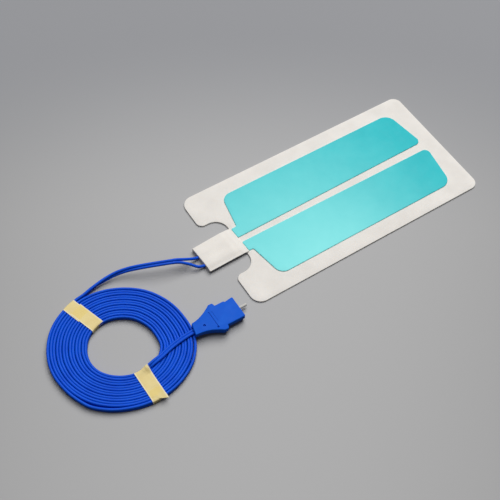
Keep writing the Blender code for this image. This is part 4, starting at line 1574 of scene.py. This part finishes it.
@dataclass
class TapeTie:
    """One turn of crepe tape round the coil, its two ends lapped on the upper side."""

    name: str
    node: str
    lead: TwinLead
    samples: list[Sample]
    angle: float
    width: float
    inner: float
    outer: float
    lap_start: float
    lap_end: float
    offset: float
    shift: float = 0.0
    flap: float = 0.0
    slant: float = 0.0
    thickness: float = 0.00015
    columns: int = 22
    end_rows: int = 4
    ragged_side: float = 0.0001
    ragged_end: float = 0.00025
    flap_droop: float = 0.0003
    top_step: float = 0.0008
    foot_step: float = 0.0025
    ridge: float = 0.00007
    crease: float = 0.00009
    lap_rise: float = 1.1
    crossing_samples: int = 60
    prop_near: float = 0.0010
    prop_reach: float = 0.0042

    @property
    def frame(self) -> Matrix:
        """The tie's own frame: X outwards from the coil's centre, Y along the turns."""
        outwards = Matrix.Translation(self.lead.coil_centre) @ Matrix.Rotation(self.angle, 4, "Z")
        return outwards @ Matrix.Translation((0.0, self.shift, 0.0))

    def crest(self, place: Vector) -> float:
        """How far the tape is held up above the coil at a place by the lead that passes under it.

        Args:
            place: The place in the model's frame.

        Returns:
            The height above the coil's top, or 0 where no lead passes.
        """
        best = 0.0
        for x, y, z, turn in self.samples[-self.crossing_samples :]:
            away = math.hypot(place.x - x, place.y - y)
            half = self.lead.strand_diameter / 2 * (1 + abs(math.cos(math.radians(turn))))
            share = smoothstep(1.0 - (away - self.prop_near) / self.prop_reach)
            best = max(best, (z + half - self.lead.coil_top) * share)
        return best

    def top(self, x: float, y: float, layer: float) -> float:
        """The height of the tape over the coil.

        Args:
            x: Distance from the coil's centre.
            y: Place across the tape.
            layer: How far it lies above the layer next to the coil.

        Returns:
            The height of its middle surface.
        """
        radius = math.hypot(x, y)
        ridges = self.ridge * math.cos(math.tau * (radius - self.lead.start_radius) / self.lead.pitch)
        crease = self.crease * noise.noise(Vector((x * 260, y * 120, self.angle)))
        rest = self.lead.coil_top + self.thickness
        return rest + ridges + self.crest(self.frame @ Vector((x, y, 0.0))) + crease + layer

    def line(self) -> list[TapeStation]:
        """Draws the tape's way round the coil in its own frame, starting with the lapped upper end.

        Returns:
            The stations along it.
        """
        layer = self.lap_rise * self.thickness
        bend = self.lead.strand_diameter / 2 + self.thickness
        high = self.lead.coil_top + self.thickness
        low = self.thickness
        quarter = [math.radians(15 * i) for i in range(1, 6)]
        shares = [i / 4 for i in range(5)]
        inside, outside = self.inner + bend, self.outer - bend
        start, end, offset = self.lap_start, self.lap_end, self.offset
        line = [TapeStation(x, layer=layer) for x in (start, *spaced(start, inside, -self.top_step))]
        for t in quarter:
            line.append(TapeStation(inside - bend * math.sin(t), layer=layer - bend * (1 - math.cos(t))))
        line += [TapeStation(self.inner, high - bend + (low + bend - high + bend) * s) for s in shares]
        line += [TapeStation(inside - bend * math.cos(t), low + bend * (1 - math.sin(t))) for t in quarter]
        line += [TapeStation(x, low) for x in (inside, *spaced(inside, outside, self.foot_step), outside)]
        line += [TapeStation(outside + bend * math.sin(t), low + bend * (1 - math.cos(t))) for t in quarter]
        for share in shares:
            height = low + bend + (high - bend - low - bend) * share
            line.append(TapeStation(self.outer, height, offset=offset * share))
        for t in quarter:
            line.append(TapeStation(outside + bend * math.cos(t), None, -bend * (1 - math.sin(t)), offset))
        back = (outside, *spaced(outside, end, -self.top_step), end)
        return line + [TapeStation(x, offset=offset) for x in back]

    def point(self, station: TapeStation, index: int, last: int, share: float) -> Vector:
        """Places one point of the tape.

        Args:
            station: The station along it.
            index: The station's number.
            last: The last station's number.
            share: How far across the tape it is, from 0 to 1.

        Returns:
            The point in the tie's own frame.
        """
        side = share in (0.0, 1.0)
        where = Vector((station.x * 420, share * 3, self.angle + index * 0.3))
        ragged = self.ragged_side * noise.noise(where)
        y = (share - 0.5) * self.width + station.offset + (ragged if side else 0.0)
        turned_in = math.sqrt(station.x**2 - (y + self.shift) ** 2) - station.x
        reach = station.x + turned_in * min(index / self.end_rows, (last - index) / self.end_rows, 1.0)
        if index < self.end_rows:
            reach += (self.flap * share + self.slant * (0.5 - share)) * (1 - index / self.end_rows)
        if index > last - self.end_rows:
            reach += self.slant * (0.5 - share) * (1 - (last - index) / self.end_rows)
        if index in (0, last):
            reach += self.ragged_end * noise.noise(Vector((share * 9, 1.7, self.angle + index)))
        z = self.top(reach, y, station.layer) if station.height is None else station.height
        if index == 0 and self.flap:
            z -= self.flap_droop * (1 - share)
        return Vector((reach, y, z))

    def build(self, material: Material) -> Piece:
        """Builds the tape as a thin creased strip with a little thickness.

        Args:
            material: The tape's finish.

        Returns:
            The piece.
        """
        bm = bmesh.new()
        uv = bm.loops.layers.uv.new("strip")
        doubled = bm.verts.layers.float.new("doubled")
        cut_edge = bm.verts.layers.float.new("cut_edge")
        line = self.line()
        rows: list[list[bmesh.types.BMVert]] = []
        for index, station in enumerate(line):
            rows.append([])
            for column in range(self.columns + 1):
                place = self.point(station, index, len(line) - 1, column / self.columns)
                vert = bm.verts.new(place)
                over = station.height is None and self.lap_end < place.x < self.lap_start
                vert[doubled] = 1.0 if over else 0.0
                # The two outer columns on each side carry the painted edge highlight
                vert[cut_edge] = 1.0 if column in (0, 1, self.columns - 1, self.columns) else 0.0
                rows[-1].append(vert)
        middles = [row[len(row) // 2].co for row in rows]
        travelled = [0.0]
        for before, after in zip(middles, middles[1:]):
            travelled.append(travelled[-1] + (after - before).length)
        for row in range(len(rows) - 1):
            for column in range(self.columns):
                corners = ((row, column), (row, column + 1), (row + 1, column + 1), (row + 1, column))
                face = bm.faces.new([rows[i][j] for i, j in corners])
                for loop, (i, j) in zip(face.loops, corners):
                    loop[uv].uv = (travelled[i], (j / self.columns - 0.5) * self.width)
        bm.normal_update()
        bmesh.ops.solidify(bm, geom=bm.faces[:], thickness=self.thickness)
        face_outwards(bm)
        return adopt(mesh_piece(self.name, bm, material, self.frame, 60.0), "tape", self.node)


# The plug


@dataclass
class ReturnPlug:
    """The moulded plug in two halves, its centre pin and its contacts."""

    origin: Vector
    length: float = 0.0354
    height: float = 0.0072
    tilt: float = math.radians(2.1)
    tail_half: float = 0.0047
    wing_half: float = 0.0115
    nose_half: float = 0.00885
    wing_start: float = 0.0172
    wing_end: float = 0.0204
    nose_start: float = 0.0211
    flare_power: float = 1.75
    flare_facets: int = 18
    tail_radius: float = 0.0007
    wing_radius: float = 0.0012
    least_radius: float = 0.0003
    neck_radius: float = 0.0005
    front_radius: float = 0.0008
    step_depth: float = 0.0009
    step_start: float = 0.0280
    step_end: float = 0.0335
    wall: float = 0.0014
    edge: float = 0.0007
    foot_edge: float = 0.0009
    tail_length: float = 0.0080
    parting: float = 0.0001
    groove_width: float = 0.0011
    dimple_place: tuple[float, float] = (0.0066, -0.0013)
    dimple_radius: float = 0.0010
    pit_radius: float = 0.0008
    dimple_depth: float = 0.0011
    tail_reach: float = 0.0013
    tail_skew: float = 0.0010
    tail_rise: float = 0.0010
    draft: float = 0.0021
    mouth: float = 0.0004
    contact_spacing: float = 0.0098
    contact_width: float = 0.0050
    contact_height: float = 0.0020
    chamber_start: float = 0.0035
    entry_width: float = 0.0040
    entry_height: float = 0.0020
    pin_radius: float = 0.0011
    pin_reach: float = 0.0066
    pin_root: float = 0.0085
    pin_tip: float = 0.0006
    collar_radius: float = 0.0020
    collar_length: float = 0.0020
    clearance: float = 0.0002
    beyond: float = 0.01
    above: float = 0.001
    place: Vector = field(default_factory=lambda: Vector((-0.03445, -0.04753, 0.0)))
    # The grip grooves: place along the plug, middle across it, length and depth
    grooves: tuple[Sample, ...] = (
        (0.0143, -0.0003, 0.0132, 0.0005),
        (0.0163, 0.0014, 0.0086, 0.0002),
    )

    @property
    def frame(self) -> Matrix:
        """The plug's own frame, tilted because the lead props up its tail."""
        lift = self.length * math.sin(self.tilt)
        spot = Matrix.Translation(self.origin + self.place + Vector((0.0, 0.0, lift)))
        return spot @ Matrix.Rotation(self.tilt, 4, "Y")

    @property
    def axis(self) -> Vector:
        """Where the pin's axis starts at the plug's rear."""
        return Vector((0.0, 0.0, self.height / 2))

    def flare(self, x: float) -> float:
        """The half width of the flared tail at a place along the plug from its rear."""
        return self.tail_half + (self.wing_half - self.tail_half) * (x / self.wing_start) ** self.flare_power

    def corners(self, inset: float, start: float) -> list[Corner]:
        """Lists the corners of the plug's outline from above.

        Args:
            inset: How far it is drawn in.
            start: Where it starts behind the nose.

        Returns:
            The corners, each with its radius.
        """
        steps = self.flare_facets
        stations = [start + (self.wing_start - start) * i / steps for i in range(steps)]
        flare = [(x, self.flare(x) - inset, 0.0 if i else self.tail_radius) for i, x in enumerate(stations)]
        wing_radius = max(self.wing_radius - inset, self.least_radius)
        wing = self.wing_half - inset
        nose = self.nose_half - inset
        front = self.length - inset
        common = [
            (self.wing_start, wing, wing_radius),
            (self.wing_end, wing, wing_radius),
            (self.nose_start, nose, self.neck_radius),
        ]
        key = [
            (self.step_start, nose, 0.0),
            (self.step_start + self.step_depth, nose - self.step_depth, self.least_radius),
            (self.step_end, nose - self.step_depth / 3, 0.001),
            (front, nose - self.step_depth / 6, self.front_radius),
        ]
        plain = flare + common + [(front, nose, self.front_radius)]
        return [(x, -y, r) for x, y, r in plain] + (flare + common + key)[::-1]

    def bar(self, size: tuple[float, float], start: float, end: float, middle: float = 0.0) -> Mesh:
        """Makes a straight cutter along the plug's axis.

        Args:
            size: Its width and height.
            start: Where it starts.
            end: Where it ends.
            middle: Its middle across the plug.

        Returns:
            The cutter.
        """
        width, height = size
        near, far = middle - width / 2, middle + width / 2
        plan = [(start, near), (end, near), (end, far), (start, far)]
        return prism(plan, self.height / 2 - height / 2, self.height / 2 + height / 2)

    def window_mouth(self, across: float) -> Mesh:
        """Makes the tapered mouth of a contact window, as a cutter.

        Args:
            across: The window's middle across the plug.

        Returns:
            The cutter.
        """
        gap = 2 * self.clearance - self.mouth
        size = (self.contact_width + gap, self.contact_height + gap)
        bm = self.bar(size, self.length - 1.5 * self.mouth, self.length + self.mouth, across)
        for vert in bm.verts:
            if vert.co.x > self.length:
                vert.co.y += math.copysign(2.5 * self.mouth, vert.co.y - across)
                vert.co.z += math.copysign(2.5 * self.mouth, vert.co.z - self.height / 2)
        return bm

    def cutters(self) -> list[Mesh]:
        """Makes what is cut from both halves: chamber, lead entry, contact seats and pin seat.

        Returns:
            The cutters.
        """
        gap = 2 * self.clearance
        rear = self.chamber_start
        chamber = [(x, y, r) for x, y, r in self.corners(self.wall, rear) if x < self.nose_start]
        half = self.height / 2 - self.wall
        made = [prism(rounded_outline(chamber, 3), self.height / 2 - half, self.height / 2 + half)]
        entry = (self.entry_width + gap, self.entry_height + gap)
        made.append(self.bar(entry, -rear, self.nose_start + self.clearance - self.wing_start + rear))
        seat = (self.contact_width + gap, self.contact_height + gap)
        for side in Side:
            across = side.value * self.contact_spacing / 2
            made.append(self.bar(seat, self.wing_start, self.length + self.beyond, across))
            made.append(self.window_mouth(across))
        start = self.length - self.pin_root - self.clearance
        bore = (self.pin_radius + self.clearance, self.length + self.beyond)
        collar = (self.collar_radius + self.clearance, start + self.collar_length + gap)
        for radius, end in (bore, collar):
            made.append(turned([(start, 0.0), (start, radius), (end, radius), (end, 0.0)], self.axis, 28))
        return made

    def marks(self) -> list[Mesh]:
        """Makes what is cut from the upper face: two grip grooves, the gate dimple and a pit.

        Returns:
            The cutters.
        """
        top = self.height
        wide = self.groove_width / 2
        made = []
        for x, middle, length, depth in self.grooves:
            low, high = middle - length / 2, middle + length / 2
            plan = [(x - wide, low), (x + wide, low), (x + wide, high), (x - wide, high)]
            rounded = rounded_outline([(*corner, wide * 0.9) for corner in plan], 4)
            made.append(prism(rounded, top - depth, top + self.above))
        pit = (self.grooves[0][0], self.grooves[0][1] - self.grooves[0][2] / 2 - 0.0001, self.pit_radius)
        turn = [a * math.pi / 12 for a in range(24)]
        for x, y, radius in ((*self.dimple_place, self.dimple_radius), pit):
            ring = [(x + radius * math.cos(a), y + radius * math.sin(a)) for a in turn]
            made.append(prism(ring, top - self.dimple_depth, top + self.above))
        return made

    def half(self, level: Level) -> Mesh:
        """Makes one moulded half before it is cut.

        Args:
            level: Which half.

        Returns:
            The half.
        """
        middle = self.height / 2
        parting = middle + level.value * self.parting / 2
        outside = middle + level.value * middle
        bm = prism(rounded_outline(self.corners(0.0, 0.0), 8), parting, outside)
        round_level(bm, outside, self.edge if level is Level.UPPER else self.foot_edge, 4)
        cut_grid(bm, 0, spaced(0.0002, self.tail_length, 0.0008))
        for vert in bm.verts:
            back = smoothstep(1.0 - vert.co.x / self.tail_length)
            if level is Level.UPPER:
                vert.co.x -= back * (self.tail_reach - self.tail_skew * vert.co.y / self.tail_half)
            elif vert.co.z < parting - self.parting:
                depth = (parting - vert.co.z) / parting
                vert.co.z += back * self.tail_rise * depth
                vert.co.y -= math.copysign(self.draft * depth**2, vert.co.y)
        return bm

    def pin(self) -> Mesh:
        """Turns the centre pin, with its collar and its rounded tip.

        Returns:
            The pin.
        """
        start = self.length - self.pin_root
        tip = self.length + self.pin_reach
        nose = self.pin_tip
        shoulder = start + self.collar_length
        collar = [(start, self.collar_radius), (shoulder, self.collar_radius)]
        profile = [(start, 0.0), *collar, (shoulder, self.pin_radius)]
        for t in (i * math.pi / 12 for i in range(7)):
            profile.append((tip - nose * (1 - math.sin(t)), self.pin_radius - nose * (1 - math.cos(t))))
        return turned(profile + [(tip, 0.0)], self.axis)

    def build(self, moulding: MouldingFinish, nylon: NylonFinish, metal: SheetMetalFinish) -> list[Piece]:
        """Builds both halves and the pin, and finishes the contacts and the crimp terminals.

        Args:
            moulding: The halves' finish.
            nylon: The pin's finish.
            metal: The contacts' finish.

        Returns:
            The pieces that ride on the lead.
        """
        blue = moulding.material()
        made = []
        for level in Level:
            cutters = self.cutters() + (self.marks() if level is Level.UPPER else [])
            bm = carved(self.half(level), cutters)
            piece = mesh_piece(f"plug_case_{level.label}", bm, blue, self.frame, 32.0)
            made.append(adopt(piece, "plug_body", f"plug_shell_{level.label}"))
        pin = mesh_piece("centre_pin", self.pin(), nylon.material(), self.frame)
        made.append(adopt(pin, "nylon", "plug_pin"))
        tinned = metal.material()
        for side in Side:
            dress_node(f"clamp_terminal_{side.label}", tinned)
            made.append(dress_node(f"plug_contact_{side.label}", tinned))
            made.append(bpy.data.objects[f"plug_strand_{side.label}"])
        return made


# The studio


@dataclass(frozen=True)
class TableFinish:
    """Plain matt grey table, with painted shade that darkens it towards the back and the sides."""

    name: str = "grey_table"
    # Painted shade: the table grades from the near colour to the darker side and back colours, standing in
    # for the light's fall-off
    near: Colour = srgb(177, 177, 178)
    aside: Colour = srgb(159, 159, 160)
    back: Colour = srgb(146, 147, 151)
    # Painted shade: the darker colour that every ray but the camera's meets, so less light bounces on to the
    # pieces' sides facing the camera
    unseen: Colour = srgb(128, 128, 129)
    ahead: tuple[float, float] = (0.58, 0.81)
    bow: float = 0.64
    depths: tuple[float, float] = (-0.025, 0.18)
    aside_shift: float = 0.052
    aside_rate: float = 20.0

    def material(self) -> Material:
        """Builds the material.

        Returns:
            The material.
        """
        material, wire, shader = new_material(self.name)
        x, y, _ = wire.add("ShaderNodeSeparateXYZ", Vector=wire.here()).outputs
        along, over = self.ahead
        depth = wire.math("ADD", wire.math("MULTIPLY", x, along), wire.math("MULTIPLY", y, over))
        aside = wire.math("SUBTRACT", wire.math("MULTIPLY", x, over), wire.math("MULTIPLY", y, along))
        bowed = wire.math("ADD", depth, wire.math("MULTIPLY", wire.math("MULTIPLY", aside, aside), self.bow))
        off = wire.math("ADD", aside, self.aside_shift)
        wing = wire.math("MULTIPLY", wire.math("MULTIPLY", off, off), self.aside_rate)
        front = wire.mix(wire.math("MINIMUM", wing, 1.0), self.near, self.aside)
        # Mixes in the painted shade towards the sides and the back
        shade = wire.mix(wire.span(bowed, self.depths, eased=True), front, self.back)
        # The camera sees the graded table; all other rays meet the darker unseen colour
        seen = wire.add("ShaderNodeLightPath").outputs["Is Camera Ray"]
        wire.feed(shader, "Base Color", wire.mix(seen, self.unseen, shade))
        wire.feed(shader, "Roughness", 0.75)
        wire.feed(shader, "Specular IOR Level", 0.1)
        return material


@dataclass
class Studio:
    """The table, the soft lamps and the camera."""

    eye: Vector = field(default_factory=lambda: Vector((-0.30740, -0.32540, 0.59160)))
    right: Vector = field(default_factory=lambda: Vector((0.8374, -0.5450, 0.0407)))
    ahead: Vector = field(default_factory=lambda: Vector((0.3292, 0.4436, -0.8336)))
    lens: float = 69.77
    floor_size: float = 4.0
    floor_drop: float = 0.00005
    key_from: Vector = field(default_factory=lambda: Vector((0.47, 0.375, 1.0)))
    key_distance: float = 3.0
    key_size: float = 2.8
    key_power: float = 99.0
    high_at: Vector = field(default_factory=lambda: Vector((-0.35, 0.05, 2.1)))
    high_size: float = 0.7
    high_power: float = 8.0
    aim: Vector = field(default_factory=lambda: Vector((-0.02, 0.0, 0.0)))
    room: tuple[float, float, float, float] = (0.95, 0.98, 1.0, 1.0)
    ambient: float = 0.07

    def camera(self) -> None:
        """Sets the camera where the photograph was taken from."""
        data = bpy.data.cameras.new("camera")
        data.lens = self.lens
        data.clip_start = 0.01
        data.clip_end = 20.0
        ahead = self.ahead.normalized()
        right = (self.right - ahead * self.right.dot(ahead)).normalized()
        item = placed("camera", data)
        turn = Matrix((right, right.cross(ahead), -ahead)).transposed().to_4x4()
        item.matrix_world = Matrix.Translation(self.eye) @ turn
        bpy.context.scene.camera = item

    def table(self, finish: TableFinish) -> None:
        """Lays the table just under the object.

        Args:
            finish: The table's finish.
        """
        bm = bmesh.new()
        bmesh.ops.create_grid(bm, x_segments=1, y_segments=1, size=self.floor_size / 2)
        bmesh.ops.translate(bm, vec=(0.0, 0.0, -self.floor_drop), verts=bm.verts)
        mesh_piece("table", bm, finish.material())

    def lamp(self, name: str, at: Vector, size: float, power: float, tone: Colour) -> None:
        """Hangs a soft lamp that faces the object.

        Args:
            name: The lamp's name.
            at: Where it hangs.
            size: Its width.
            power: Its power in watts.
            tone: Its colour.
        """
        data = bpy.data.lights.new(name, "AREA")
        data.shape = "DISK"
        data.size = size
        data.energy = power
        data.color = tone
        item = placed(name, data)
        item.location = at
        item.rotation_euler = (self.aim - at).to_track_quat("-Z", "Y").to_euler()

    def light(self) -> None:
        """Lights the scene from behind on the right, with a soft fill and a pale room."""
        scene = bpy.context.scene
        scene.view_settings.view_transform = "Standard"
        scene.world = bpy.data.worlds.new("room")
        scene.world.use_nodes = True
        shade = scene.world.node_tree.nodes["Background"]
        shade.inputs["Color"].default_value = self.room
        shade.inputs["Strength"].default_value = self.ambient
        key_at = self.key_from.normalized() * self.key_distance
        self.lamp("key", key_at, self.key_size, self.key_power, (1.0, 0.99, 0.975))
        self.lamp("high", self.high_at, self.high_size, self.high_power, (0.98, 0.99, 1.0))


def main() -> None:
    """Builds the scene in order and reports each piece."""
    logging.basicConfig(level=logging.INFO, format="%(message)s")
    for item in list(bpy.data.objects):
        bpy.data.objects.remove(item, do_unlink=True)
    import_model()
    studio = Studio()
    studio.camera()
    pad = FoamPad()
    cover = CrimpCover(pad)
    lead = TwinLead(cover.lead_origin, cover)
    twin, strands, samples = lead.build(InsulationFinish())
    tape = CrepeFinish().material()
    upper = TapeTie(
        "tape_upper", "tie_upper", lead, samples, math.radians(108.5), 0.0103, 0.0224, 0.0501,
        lap_start=0.0428, lap_end=0.0352, offset=0.0006, shift=-0.0004, slant=0.0012,
    )
    lower = TapeTie(
        "tape_lower", "tie_lower", lead, samples, math.radians(271.1), 0.0106, 0.0231, 0.0482,
        lap_start=0.0450, lap_end=0.0400, offset=0.0, shift=0.0016, flap=0.0058,
    )
    ties = [upper.build(tape), lower.build(tape)]
    plug = ReturnPlug(cover.lead_origin)
    tinned = SheetMetalFinish("tinned_brass", srgb(206, 200, 186), srgb(190, 182, 166))
    on_plug = plug.build(MouldingFinish(), NylonFinish(), tinned)
    pad.build(FoamFinish())
    GelPair(pad).build(GelFinish())
    patch = ("cover_foam_skin", srgb(234, 230, 224), srgb(226, 221, 215))
    cover.build(FoamFinish(*patch, cells_per_metre=1900.0))
    rolled = ("rolled_foil", srgb(214, 215, 217), srgb(200, 201, 204))
    foil = SheetMetalFinish(*rolled, lines_per_metre=9000.0, roughness=(0.20, 0.36)).material()
    for side in Side:
        dress_node(f"foil_{side.label}", foil)
    studio.table(TableFinish())
    studio.light()


if __name__ == "__main__":
    main()
